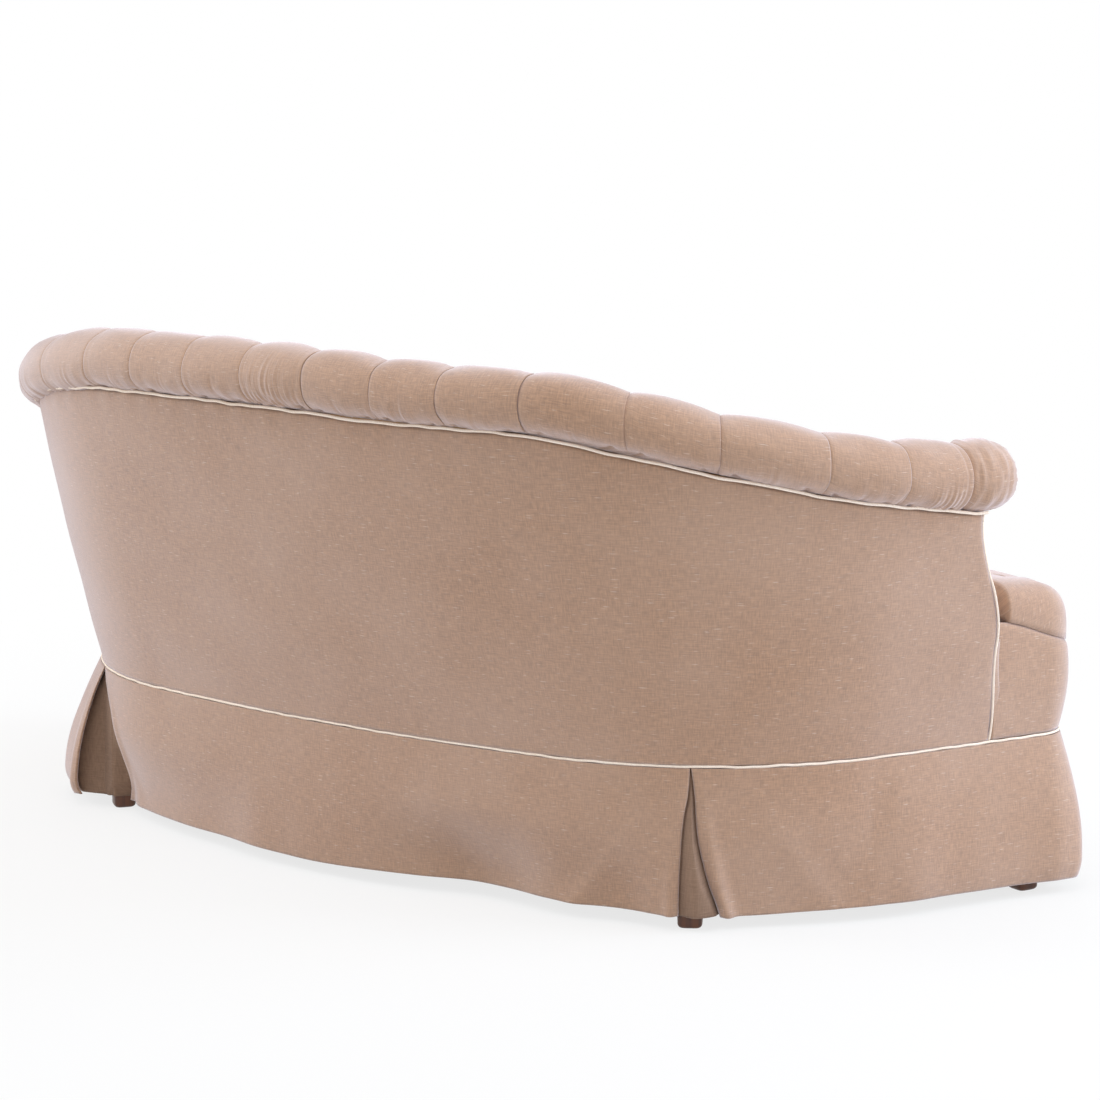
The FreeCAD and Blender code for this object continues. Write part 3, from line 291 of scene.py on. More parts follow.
def surface(name, points, uv, ring=False, capped=False, sheet_side=None):
    """Make an object from a grid of points, rows by columns.

    A ring joins its last column to its first, and a capped one has a face over its first and
    last rows, or over the first alone. Faces are turned so that a closed grid has a positive
    volume, and so that an open one looks along sheet_side, a vector for each point.
    """
    rows, cols = points.shape[:2]
    index = np.arange(rows * cols).reshape(rows, cols)
    if ring:
        index = np.concatenate([index, index[:, :1]], axis=1)
    corners = (np.s_[:-1, :-1], np.s_[:-1, 1:], np.s_[1:, 1:], np.s_[1:, :-1])
    quads = np.stack([index[c] for c in corners], axis=-1).reshape(-1, 4)
    quad_uv = np.stack([uv[c] for c in corners], axis=-2).reshape(-1, 4, 2)
    flat = points.reshape(-1, 3)
    a, b, c, d = (flat[quads[:, i]] for i in range(4))
    normal = np.cross(c - a, d - b)
    if sheet_side is None:
        centre = flat.mean(axis=0)
        turned = float(((a + b + c + d) / 4.0 - centre).ravel().dot(normal.ravel())) < 0.0
    else:
        turned = float((normal * sheet_side.reshape(-1, 3)[quads[:, 0]]).sum()) < 0.0
    loops = [quads.reshape(-1)]
    loop_uv = [quad_uv.reshape(-1, 2)]
    sizes = [np.full(len(quads), 4)]
    if capped:
        caps = ((0, slice(None, None, -1)), (rows - 1, slice(None)))
        for row, order in caps[:1] if capped == "first" else caps:
            loops.append(index[row, :cols][order])
            loop_uv.append(uv[row, :cols][order])
            sizes.append(np.array([cols]))
    sizes = np.concatenate(sizes)
    starts = np.concatenate([[0], np.cumsum(sizes)[:-1]])
    loops, loop_uv = np.concatenate(loops), np.concatenate(loop_uv)
    if turned:
        ends = starts + sizes - 1
        order = np.repeat(starts + ends, sizes) - np.arange(len(loops))
        loops, loop_uv = loops[order], loop_uv[order]
    mesh = bpy.data.meshes.new(name)
    mesh.vertices.add(len(flat))
    mesh.vertices.foreach_set("co", flat.ravel())
    mesh.loops.add(len(loops))
    mesh.loops.foreach_set("vertex_index", loops.astype(np.int32))
    mesh.polygons.add(len(sizes))
    mesh.polygons.foreach_set("loop_start", starts.astype(np.int32))
    mesh.polygons.foreach_set("use_smooth", np.ones(len(sizes), bool))
    mesh.uv_layers.new(name="cloth").uv.foreach_set("vector", loop_uv.ravel())
    mesh.update(calc_edges=True)
    mesh.validate()
    obj = bpy.data.objects.new(name, mesh)
    bpy.context.scene.collection.objects.link(obj)
    return obj


def joined(name, objects):
    """Join objects into one, with its name."""
    for other in bpy.context.selected_objects:
        other.select_set(False)
    for obj in objects:
        obj.select_set(True)
    bpy.context.view_layer.objects.active = objects[0]
    if len(objects) > 1:
        bpy.ops.object.join()
    objects[0].name = name
    return objects[0]


def thicken(obj, thickness, offset=-1.0):
    """Give a sheet its thickness: behind its face at offset -1, and on both sides of it at 0."""
    made = obj.modifiers.new("solidify", "SOLIDIFY")
    made.thickness = thickness
    made.offset = offset


def dress(obj, slot, nodes, finish=None):
    """Give a piece its slot and material, hide the CAD nodes it stands for, and fix it to the frame.

    The material is the slot's own, or another finish.
    """
    obj.data.materials.clear()
    obj.data.materials.append(material_for(finish or slot))
    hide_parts(*nodes)
    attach(obj, "root")


def sheet_uv(s, z):
    """UV of a sheet from its places along and up it, in metres."""
    return np.stack(np.broadcast_arrays(s, z), axis=-1)


def ring_uv(points, z, last):
    """UV of a closed ring: its length round, closed by a last step, and its height."""
    lengths = run_lengths(points, 1)
    return sheet_uv(np.concatenate([lengths, lengths[:, -1:] + last], axis=1), z)


def tube(name, centre, radius, sides=10, closed=False):
    """Cord along a line of points: circles in the planes square to its direction.

    The circle's first axis is level and square to the line, and its second is square to both.
    """
    if closed:
        ahead = np.roll(centre, -1, axis=0) - np.roll(centre, 1, axis=0)
    else:
        ahead = np.gradient(centre, axis=0)
    ahead = ahead / np.linalg.norm(ahead, axis=1)[:, None]
    level = np.cross(ahead, [0.0, 0.0, 1.0])
    steep = np.linalg.norm(level, axis=1) < 0.2
    level[steep] = np.cross(ahead[steep], [0.3, 0.9, 0.0])
    level = level / np.linalg.norm(level, axis=1)[:, None]
    up = np.cross(level, ahead)
    turn = np.linspace(0.0, 2.0 * math.pi, sides, endpoint=False)
    ring = np.cos(turn)[None, :, None] * level[:, None, :] + np.sin(turn)[None, :, None] * up[:, None, :]
    radius = np.broadcast_to(radius, (len(centre),))
    points = centre[:, None, :] + radius[:, None, None] * ring
    if closed:
        points = np.concatenate([points, points[:1]])
    lengths = run_lengths(np.concatenate([centre, centre[:1]]) if closed else centre, 0)
    around = np.linspace(0.0, 2.0 * math.pi * float(radius.mean()), sides + 1)
    uv = sheet_uv(lengths[:, None], around[None, :])
    obj = surface(name, points, uv, ring=True, capped=not closed)
    if closed:
        weld(obj)
    return obj


def weld(obj):
    """Merge the points that lie on each other, so that a seam or a pole is closed."""
    work = bmesh.new()
    work.from_mesh(obj.data)
    bmesh.ops.remove_doubles(work, verts=work.verts, dist=0.00002)
    work.to_mesh(obj.data)
    work.free()


# Materials

def colour(text):
    """Linear RGBA of an sRGB hex colour, by the standard curve."""
    parts = [int(text[i:i + 2], 16) / 255.0 for i in (1, 3, 5)]
    return tuple(p / 12.92 if p <= 0.04045 else ((p + 0.055) / 1.055) ** 2.4 for p in parts) + (1.0,)


def add_node(tree, kind, inputs=None, **settings):
    """Add a node, set its attributes, and set or link its inputs by name or number."""
    made = tree.nodes.new(kind)
    for key, value in settings.items():
        setattr(made, key, value)
    for key, value in (inputs or {}).items():
        if isinstance(value, bpy.types.NodeSocket):
            tree.links.new(value, made.inputs[key])
        else:
            made.inputs[key].default_value = value
    return made


def new_material(name):
    """Return an empty node material and its tree."""
    material = bpy.data.materials.new(name)
    material.use_nodes = True
    material.node_tree.nodes.clear()
    return material, material.node_tree


def mixed(tree, factor, a, b):
    """Colour b over colour a by a factor."""
    return add_node(tree, "ShaderNodeMix", {"Factor": factor, "A": a, "B": b},
                    data_type="RGBA").outputs["Result"]


def ranged(tree, value, low, high, to_low=0.0, to_high=1.0, **settings):
    """A value moved from one range to another."""
    return add_node(tree, "ShaderNodeMapRange", {"Value": value, "From Min": low, "From Max": high,
                                                 "To Min": to_low, "To Max": to_high}, **settings).outputs[0]


def sums(tree, a, b, operation="ADD", **settings):
    """Two values added, or joined by another operation."""
    return add_node(tree, "ShaderNodeMath", {0: a, 1: b}, operation=operation, **settings).outputs[0]


def relief(tree, height, strength, distance):
    """Normals of a fine relief."""
    return add_node(tree, "ShaderNodeBump", {"Height": height, "Strength": strength,
                                             "Distance": distance}).outputs["Normal"]


def white_rays(tree):
    """Outputs of the ray's kind, and 1 for a ray from the camera or off a glossy face."""
    rays = add_node(tree, "ShaderNodeLightPath").outputs
    return rays, sums(tree, rays["Is Camera Ray"], rays["Is Glossy Ray"], use_clamp=True)


def finish_material(tree, shader):
    """Link a shader to the material's output."""
    add_node(tree, "ShaderNodeOutputMaterial", {"Surface": shader})


def stretched_noise(tree, vector, scale_x, scale_y, detail, roughness=0.6):
    """Noise drawn out along a thread: the UV, in metres, times cells per metre each way."""
    moved = add_node(tree, "ShaderNodeMapping", {"Vector": vector, "Scale": (scale_x, scale_y, 1.0)})
    return add_node(tree, "ShaderNodeTexNoise", {"Vector": moved.outputs["Vector"], "Scale": 1.0,
                                                 "Detail": detail, "Roughness": roughness})


def slub_linen(name, base, light, dark, slub_tone, sheen):
    """Plain-woven linen with slubs.

    The yarn is uneven, so the eye sees fine level and upright streaks, short pale slubs along
    the weft, a soft matt surface and a faint halo of fibre at grazing angles.
    """
    material, tree = new_material(name)
    uv = add_node(tree, "ShaderNodeUVMap", uv_map="cloth").outputs["UV"]
    # Real yarns are about 0.8 mm apart. They are drawn twice as wide, so that they show.
    weft = stretched_noise(tree, uv, 55.0, 620.0, 2.0).outputs["Fac"]
    warp = stretched_noise(tree, uv, 620.0, 70.0, 2.0).outputs["Fac"]
    slubs = stretched_noise(tree, uv, 75.0, 640.0, 0.0).outputs["Fac"]
    cloud = stretched_noise(tree, uv, 3.5, 3.0, 3.0).outputs["Fac"]
    both = sums(tree, weft, warp)
    streak = ranged(tree, both, 0.74, 1.24)
    slub = ranged(tree, slubs, 0.72, 0.83, 0.0, 0.5)
    patch = ranged(tree, cloud, 0.35, 0.65, 0.0, 0.30)
    woven = mixed(tree, streak, dark, base)
    uneven = mixed(tree, patch, woven, light)
    yarn = mixed(tree, slub, uneven, slub_tone)
    normal = relief(tree, sums(tree, both, slub), 0.4, 0.0006)
    shader = add_node(tree, "ShaderNodeBsdfPrincipled", {
        "Base Color": yarn, "Roughness": 0.8, "IOR": 1.45, "Specular IOR Level": 0.5,
        "Sheen Weight": sheen, "Sheen Roughness": 0.5, "Sheen Tint": colour("#E9E6F0"),
        "Normal": normal})
    finish_material(tree, shader.outputs["BSDF"])
    return material


def bias_cord(name, base, dark):
    """Bias-cut cotton over a cord: its threads cross the cord aslant, so it shows fine slants."""
    material, tree = new_material(name)
    uv = add_node(tree, "ShaderNodeUVMap", uv_map="cloth").outputs["UV"]
    turned = add_node(tree, "ShaderNodeMapping", {"Vector": uv, "Rotation": (0.0, 0.0, math.radians(45.0))})
    slant = stretched_noise(tree, turned.outputs["Vector"], 180.0, 900.0, 1.0).outputs["Fac"]
    soil = stretched_noise(tree, uv, 9.0, 3.0, 2.0).outputs["Fac"]
    both = sums(tree, slant, soil)
    amount = ranged(tree, both, 0.7, 1.25)
    tone = mixed(tree, amount, dark, base)
    normal = relief(tree, slant, 0.3, 0.0004)
    shader = add_node(tree, "ShaderNodeBsdfPrincipled", {
        "Base Color": tone, "Roughness": 0.88, "IOR": 1.45, "Specular IOR Level": 0.25,
        "Sheen Weight": 0.15, "Sheen Roughness": 0.5, "Normal": normal})
    finish_material(tree, shader.outputs["BSDF"])
    return material


def coarse_cloth(name, light, dark, threads):
    """Open plain weave of jute or hemp: coarse threads over and under in both directions."""
    material, tree = new_material(name)
    where = add_node(tree, "ShaderNodeTexCoord").outputs["Object"]
    across, upright, level = [
        add_node(tree, "ShaderNodeTexWave", {"Vector": where, "Scale": threads, "Distortion": 0.6,
                                             "Detail": 2.0}, bands_direction=axis).outputs["Fac"]
        for axis in "XZY"]
    both = sums(tree, across, upright, "MULTIPLY")
    weave = sums(tree, both, level)
    tone = mixed(tree, weave, dark, light)
    normal = relief(tree, weave, 0.5, 0.0008)
    shader = add_node(tree, "ShaderNodeBsdfPrincipled", {"Base Color": tone, "Roughness": 0.95,
                                                         "Specular IOR Level": 0.2,
                                                         "Normal": normal})
    finish_material(tree, shader.outputs["BSDF"])
    return material


def wood(name, light, dark, grain_mm, roughness, coat):
    """Planed or lacquered timber: growth rings drawn out along the board, and fine pores.

    The grain runs upright, and rings show as uneven darker lines grain_mm apart.
    """
    material, tree = new_material(name)
    where = add_node(tree, "ShaderNodeTexCoord").outputs["Object"]
    drawn = add_node(tree, "ShaderNodeMapping", {"Vector": where, "Scale": (1.0, 1.0, 0.08)})
    ring = add_node(tree, "ShaderNodeTexNoise", {"Vector": drawn.outputs["Vector"],
                                                 "Scale": 1000.0 / grain_mm / 4.0,
                                                 "Detail": 4.0, "Roughness": 0.65}).outputs["Fac"]
    pore = add_node(tree, "ShaderNodeTexNoise", {"Vector": drawn.outputs["Vector"], "Scale": 900.0,
                                                 "Detail": 1.0}).outputs["Fac"]
    band = ranged(tree, ring, 0.35, 0.65)
    tone = mixed(tree, band, dark, light)
    normal = relief(tree, pore, 0.15, 0.0003)
    shader = add_node(tree, "ShaderNodeBsdfPrincipled", {
        "Base Color": tone, "Roughness": roughness, "IOR": 1.5, "Coat Weight": coat,
        "Coat Roughness": 0.2, "Normal": normal})
    finish_material(tree, shader.outputs["BSDF"])
    return material


def drawn_steel(name, base, roughness):
    """Drawn or plated steel wire: a bright metal with fine scratches along it and a dull film."""
    material, tree = new_material(name)
    where = add_node(tree, "ShaderNodeTexCoord").outputs["Object"]
    film = add_node(tree, "ShaderNodeTexNoise", {"Vector": where, "Scale": 60.0,
                                                 "Detail": 3.0}).outputs["Fac"]
    tone = mixed(tree, film, base, colour("#8C8E91"))
    rough = ranged(tree, film, 0.0, 1.0, roughness - 0.08, roughness + 0.12)
    shader = add_node(tree, "ShaderNodeBsdfPrincipled", {"Base Color": tone, "Metallic": 1.0,
                                                         "Roughness": rough})
    finish_material(tree, shader.outputs["BSDF"])
    return material


MATERIALS = {}


def material_for(slot):
    """Return the material of a slot, made at its first use from the scene's colours."""
    if slot in MATERIALS:
        return MATERIALS[slot]
    shades = bpy.context.scene.settee_colours
    tone = {word: tuple(getattr(shades, word)) for word in shades.bl_rna.properties.keys()
            if word not in ("rna_type", "name")}
    makers = {
        "linen": lambda: slub_linen("slub_linen", tone["linen"], tone["linen_light"], tone["linen_dark"],
                                    tone["slub"], 1.0),
        # The underlay's material is the cover's linen in darker colours: painted shade of the deep pleats.
        "underlay": lambda: slub_linen("slub_linen_underlay", tone["underlay"], tone["underlay_light"],
                                       tone["underlay_dark"], tone["underlay_light"], 0.15),
        "cream_piping": lambda: bias_cord("cream_bias_cotton", tone["cord"], tone["cord_dark"]),
        "walnut": lambda: wood("lacquered_walnut", tone["walnut"], tone["walnut_dark"], 5.0, 0.42, 0.15),
        "beech": lambda: wood("planed_beech", tone["beech"], tone["beech_dark"], 8.0, 0.6, 0.0),
        "jute_webbing": lambda: coarse_cloth("jute_webbing", tone["webbing"], tone["webbing_dark"], 140.0),
        "hessian": lambda: coarse_cloth("hessian", tone["hessian"], tone["hessian_dark"], 190.0),
        "twine": lambda: coarse_cloth("paper_wrapped_wire", tone["twine"], tone["twine_dark"], 260.0),
        "black_cambric": lambda: coarse_cloth("black_cambric", tone["cambric"], tone["cambric_dark"], 300.0),
        "spring_steel": lambda: drawn_steel("oiled_spring_steel", tone["spring_steel"], 0.38),
        "zinc_steel": lambda: drawn_steel("zinc_plated_steel", tone["zinc"], 0.3),
    }
    MATERIALS[slot] = makers[slot]()
    return MATERIALS[slot]


# Shapes of the buttoned back and the roll

def fold_depth(s, z):
    """Depth below the crowns of the buttoned face.

    At each height the folds lie at s / pitch = k +- t / 2, where t runs from 0 at the lower
    buttons to 1 at the upper ones, so they go straight down, aslant and straight up. A cell
    between two folds is a parabola of (1 - x), x from 0 at the fold to 1 at the cell's middle.
    """
    low, high = row_height(s, LOWER_ROW), row_height(s, UPPER_ROW)
    t = np.clip((z - low) / (high - low), 0.0, 1.0)
    a = np.abs(np.mod(s / PITCH + 0.5, 1.0) - 0.5)
    half = np.where(a < t / 2.0, t / 2.0, (1.0 - t) / 2.0) * PITCH
    x = np.clip(np.abs(a - t / 2.0) * PITCH / np.maximum(half, 1e-5), 0.0, 1.0)
    narrow = np.clip(1.0 - half / 0.030, 0.0, 1.0)
    below = 0.008 + 0.017 * np.exp(-np.clip(low - z, 0.0, None) / 0.024)
    between = 0.016 + 0.009 * np.abs(2.0 * t - 1.0) ** 3
    over = 0.009 + 0.016 * np.exp(-np.clip(z - high, 0.0, None) / 0.026)
    fold = np.where(z < low, below, np.where(z > high, over, between))
    return fold * (narrow + (1.0 - narrow) * (1.0 - x) ** 1.9)


# How much thinner the roll is than an even one, in mm, by s
THINNING = ((-0.96, -0.91, -0.82, -0.70, -0.56, -0.44, -0.30, -0.12, 0.80, 0.90, 1.02),
            (0.5, 3.2, 4.8, 5.2, 4.6, 2.8, 1.6, 0.0, 0.0, -3.0, -5.5))


def roll_circle(s):
    """Radius, offset and height of the roll's circle, before its pleats."""
    radius = ROLL_RADIUS + ROLL_GAIN * fall(s) - np.interp(s, *THINNING) * MM
    return radius, top_lean(s) + ROLL_LIP - radius, top_height(s) + ROLL_SQUASH * radius


def pleat_stations():
    """s of the columns of the buttoned back, close together at each fold."""
    tau = np.linspace(0.0, 1.0, 19)[:-1]
    share = 0.5 * (tau - 0.125 * np.sin(2.0 * math.pi * tau))
    half = (np.arange(17)[:, None] * 0.5 + share[None, :]).ravel() * PITCH
    half = np.append(half, LAST_PLEAT)
    fine = np.concatenate([np.linspace(-0.046, 0.050, 57), np.linspace(-LAST_PLEAT + 0.008, -0.895, 25)])
    return np.unique(np.round(np.concatenate([-half[:0:-1], half, fine]), 6))


# Strength of each pleat's crease over the roll, by its count from the middle of the back and its side
CREASES = {(0, 1): 0.3, (4, -1): 0.35, (2, -1): 0.8}

# How far the pleats lean along the back by the time they are over the roll, in mm, by s
DRIFTS = ((-0.953, -0.90, -0.841, -0.729, -0.617, -0.505, -0.392, -0.280, -0.168, -0.056,
           0.056, 0.168, 0.280, 0.392, 0.505, 0.617, 0.729, 0.841, 0.953),
          (28.0, 22.0, 12.0, -6.0, 0.0, -18.0, -23.0, -25.0, -33.0, -34.0,
           -42.0, -48.0, -52.0, -54.0, -50.0, -36.0, -18.0, -8.0, -28.0))


def drift(s, degrees):
    """Shift of the pleats along the roll: a third of the lean at its front and all of it at its top."""
    return np.interp(s, *DRIFTS) * MM * (0.35 + 0.65 * smooth((180.0 - degrees) / 105.0))


def crease(s):
    """Depth of the crease of a pleat and how far its lip is pushed over it.

    Beyond the pleat, seen from the middle of the back, the groove rises as exp(-u / w); on the
    near side the lip stays high and is pushed across the groove by exp(u / w), with one fine
    fold behind it.
    """
    k = np.floor(np.abs(s) / PITCH).astype(int)
    u = np.abs(s) - (k + 0.5) * PITCH
    strength = np.ones_like(s)
    for (index, side), value in CREASES.items():
        strength = np.where((k == index) & (np.sign(s) == side), value, strength)
    beyond = 0.0050 * np.exp(-np.abs(u) / 0.0022)
    before = 0.0004 * np.exp(-np.abs(u) / 0.003) + 0.0009 * np.exp(-((u + 0.0075) / 0.0012) ** 2)
    push = np.where(u < -1e-7, 0.0030 * np.exp(-np.abs(u) / 0.006), 0.0)
    return strength * np.where(u >= -1e-7, beyond, before), strength * push * np.sign(s)


def roll_points(s, degrees):
    """Points of the roll at s and at angles from the level outward direction.

    The radius is the circle's less the depth of the pleat, the crease and the stuffing's lumps.
    Near the cord the cloth is gathered, small puckers open beside the pleats, and it tucks in.
    """
    radius, cn, cz = roll_circle(s)
    turn = np.radians(degrees)
    a = np.abs(np.mod(s / PITCH + 0.5, 1.0) - 0.5)
    puff = (0.0016 + 0.0046 * smooth((degrees - 30.0) / 55.0)) * (2.0 * a) ** 2.4
    groove, push = crease(s)
    inside = smooth((degrees - 140.0) / 45.0)
    puff = puff * (1.0 + 0.3 * inside) * (1.0 - 0.5 * smooth(s / 0.15))
    low = smooth((degrees + 66.0) / 40.0)
    tuck = smooth((-degrees + 15.0) / 60.0)
    gather = waves(s + 0.004 * turn, turn * 0.05, 0.017, 0.22, 11) * 0.0009 * tuck
    bow = s - 0.016 * np.cos(turn * 1.15)
    cluster = np.exp(-((s - 0.005) / 0.034) ** 2) * smooth((62.0 - degrees) / 70.0)
    gather = gather + waves(bow, turn * 0.05, 0.0080, 0.35, 12) * 0.0007 * cluster
    lumps = waves(s, turn * 0.05, 0.26, 0.16, 13) * 0.0010
    beside = np.abs(np.abs(np.mod(np.abs(s) / PITCH, 1.0) - 0.5) * PITCH - 0.018)
    pucker = 0.0040 * np.exp(-(beside / 0.0035) ** 2) * smooth((-46.0 - degrees) / 10.0)
    close = 0.0055 * smooth((-18.0 - degrees) / 46.0)
    depth = puff * low + groove * (1.0 - 0.3 * inside) * (0.45 + 0.55 * low) - gather - lumps + pucker
    r = radius - depth - close
    return cn + r * np.cos(turn), cz + r * np.sin(turn), push * (1.0 - inside) * low + drift(s, degrees)


def back_ring():
    """The buttoned face, the roll and their hidden back, as a grid of closed rings along s."""
    s = pleat_stations()[:, None]
    top = top_height(s)
    radius, cn, cz = roll_circle(s)
    t = np.linspace(0.0, 1.0, 62)[None, :]
    z_face = STUFFING_FOOT + (cz - STUFFING_FOOT) * t
    crown = inner_crown(s, np.minimum(z_face, top))
    blend = smooth((z_face - top) / (cz - top))
    crown = crown + (cn - radius - inner_crown(s, top)) * blend
    near = waves(s, z_face, 0.14, 0.14, 5) * 0.0012 + waves(s, z_face, 0.03, 0.05, 6) * 0.0003
    high = row_height(s, UPPER_ROW)
    up = smooth((z_face - high - 0.01) / 0.04)
    n_face = crown + fold_depth(s, z_face) - near + crease(s)[0] * 0.7 * up
    degrees = np.linspace(180.0, -64.0, 56)[None, 1:]
    n_roll, z_roll, push_roll = roll_points(s, degrees)
    lean, rail = top_lean(s), np.maximum(top, rail_top(s))
    low, foot = 0.45 + 0.0 * s, STUFFING_FOOT + 0.0 * s
    tuck_n = np.concatenate([lean - 0.001, lean - 0.006, lean - WEB_HIGH_INSET]
                            + [base_line(s, level) - STUFFING_BACK for level in (rail, low, foot)], axis=1)
    tuck_z = np.concatenate([top + 0.0034, rail + 0.0014, rail + 0.0008, rail_top(s) - 0.004,
                             low, foot], axis=1)
    n = np.concatenate([n_face, n_roll, tuck_n], axis=1)
    z = np.concatenate([z_face, z_roll, tuck_z], axis=1)
    lean_face = drift(s, 180.0) * smooth((z_face - high) / (cz - high))
    shift = np.concatenate([lean_face, push_roll, np.zeros_like(tuck_n)], axis=1)
    points = place(s + shift, n, z)
    lengths = run_lengths(points, 1)
    lengths = np.concatenate([lengths, lengths[:, -1:] + 0.1], axis=1) - lengths[:, -7:-6]
    uv = sheet_uv(s, lengths)
    return points, uv


def roll_end(side):
    """The roll beyond the last pleat, drawn in over the arm's front by gathers to a small button.

    Its size shrinks by 1 - (1 - t^3)^(1/3), and gathers run along it and fade towards the pleat.
    """
    along = np.concatenate([np.linspace(LAST_PLEAT + 0.0004, ARM_TOP_REACH, 14)[:-1],
                            ARM_TOP_REACH + ROLL_OVERHANG * (1.0 - (1.0 - np.linspace(0.0, 1.0, 34)) ** 2.2)])
    t = np.clip((along - ARM_TOP_REACH) / ROLL_OVERHANG, 0.0, 1.0)
    shrink = np.minimum(1.0 - (1.0 - t ** 2.5) ** (1.0 / 2.5), 0.985)[:, None]
    s = side * along[:, None]
    inner_s = side * np.minimum(along, 0.990)[:, None]
    degrees = np.linspace(208.0, -66.0, 72)[None, :]
    radius, cn, cz = roll_circle(s)
    turn = np.radians(degrees)
    u = along[:, None] - LAST_PLEAT
    groove = 0.0065 * np.exp(-u / 0.005) + 0.009 * np.exp(-u / 0.014)
    gather = 0.0016 * waves(turn * 0.05, s, 0.012, 0.6, 21 + side) * smooth((shrink - 0.02) / 0.3)
    wrinkle = 0.0012 * waves(s, turn * 0.05, 0.014, 0.09, 31 + side) * smooth(u / 0.02)
    wrinkle = wrinkle * (1.0 - smooth(shrink * 3.0))
    close = 0.0045 * smooth((-18.0 - degrees) / 46.0) * (1.0 - smooth(shrink * 2.0))
    r = radius - groove + gather + wrinkle - close
    n = cn + r * np.cos(turn)
    z = cz + r * np.sin(turn)
    top = top_height(s)
    lean = top_lean(s)
    floor_n = np.concatenate([lean - 0.002, lean - 0.010, lean - 0.035,
                              inner_crown(inner_s, top) + 0.012], axis=1)
    floor_z = np.concatenate([top + 0.0034, top + 0.0012, top + 0.0010, top + 0.0010], axis=1)
    n = np.concatenate([n, floor_n], axis=1)
    z = np.concatenate([z, floor_z], axis=1)
    mid_n, mid_z = cn - 0.004, cz + (0.009 if side > 0 else -0.002)
    n = mid_n + (n - mid_n) * (1.0 - shrink)
    z = mid_z + (z - mid_z) * (1.0 - shrink)
    lean = drift(side * LAST_PLEAT, degrees) * (1.0 - smooth(u / 0.075))
    shift = np.concatenate([lean, np.zeros_like(floor_n)], axis=1)
    points = place(s + shift, n, z)
    lengths = run_lengths(points, 1)
    lengths = np.concatenate([lengths, lengths[:, -1:] + 0.08], axis=1) - lengths[:, -5:-4]
    ahead = run_lengths(points, 0)[:, :1] * side
    uv = sheet_uv(ahead + side * LAST_PLEAT, lengths)
    return points, uv


# Operators

class SetteeShape(bpy.types.PropertyGroup):
    """Sizes of the upholstery that a user may change."""
    button_radius: FloatProperty(name="Button radius", description="Radius of a covered button",
                                 default=0.0115, min=0.005, max=0.02, unit="LENGTH")
    button_rise: FloatProperty(name="Button rise", description="Height of a covered button's dome",
                               default=0.006, min=0.002, max=0.012, unit="LENGTH")
    cord_radius: FloatProperty(name="Cord radius", description="Radius of the piping",
                               default=0.0019, min=0.001, max=0.006, unit="LENGTH")
    cover_thickness: FloatProperty(name="Cover thickness", description="Thickness of linen with its lining",
                                   default=0.0022, min=0.0005, max=0.004, unit="LENGTH")


def shade(name, description, text):
    """A colour that a user may change, from an sRGB hex colour."""
    return FloatVectorProperty(name=name, description=description, default=colour(text), size=4,
                               min=0.0, max=1.0, subtype="COLOR")


class SetteeColours(bpy.types.PropertyGroup):
    """Colours of the settee's materials."""
    linen: shade("Linen", "Main colour of the linen", "#BA9375")
    linen_light: shade("Light linen", "Colour of its paler patches", "#C4A794")
    linen_dark: shade("Dark linen", "Colour between its yarns", "#997962")
    slub: shade("Slubs", "Colour of the thick places in the yarn", "#DCC8B8")
    # The pleat linen is the cover's linen drawn darker: painted shade for the depth of the pleats.
    underlay: shade("Pleat linen", "Main colour of the linen inside the pleats", "#8E715C")
    underlay_light: shade("Light pleat linen", "Colour of its paler patches", "#A58A75")
    underlay_dark: shade("Dark pleat linen", "Colour between its yarns", "#7A5F4C")
    cord: shade("Cord", "Main colour of the piping", "#FFF2E4")
    cord_dark: shade("Dark cord", "Colour between the threads of the piping", "#EFDCC8")
    walnut: shade("Walnut", "Colour of the feet", "#74401F")
    walnut_dark: shade("Dark walnut", "Colour of the rings in the feet", "#432010")
    beech: shade("Beech", "Colour of the frame", "#CFA980")
    beech_dark: shade("Dark beech", "Colour of the rings in the frame", "#B88F66")
    webbing: shade("Webbing", "Colour of the jute webbing", "#B08D5E")
    webbing_dark: shade("Dark webbing", "Colour between its threads", "#7C5E3A")
    hessian: shade("Hessian", "Colour of the hessian", "#B99A6C")
    hessian_dark: shade("Dark hessian", "Colour between its threads", "#86693F")
    twine: shade("Tie wire", "Colour of the paper on the tie wires", "#D3C4A2")
    twine_dark: shade("Dark tie wire", "Colour of the paper's creases", "#A8966F")
    cambric: shade("Dust cover", "Colour of the black cambric", "#26262A")
    cambric_dark: shade("Dark dust cover", "Colour between its threads", "#141416")
    spring_steel: shade("Springs", "Colour of the oiled spring steel", "#55575A")
    zinc: shade("Zinc", "Colour of the zinc plate", "#B4B7BA")


class MakeBack(bpy.types.Operator):
    """Make the buttoned face with the roll above it, one cover over one stuffing"""
    bl_idname = "settee.make_back"
    bl_label = "Buttoned back and roll"

    def execute(self, context):
        points, uv = back_ring()
        back = surface("buttoned_back", points, uv, ring=True, capped=True)
        dress(back, "linen", ["inside_back", "back_roll"])
        return {"FINISHED"}


class MakeRollEnds(bpy.types.Operator):
    """Make the gathered ends of the roll over the arms"""
    bl_idname = "settee.make_roll_ends"
    bl_label = "Roll ends"

    def execute(self, context):
        for word, side in (("left", 1), ("right", -1)):
            points, uv = roll_end(side)
            end = surface("roll_end_" + word, points, uv, ring=True, capped=True)
            dress(end, "linen", ["back_roll"])
        return {"FINISHED"}


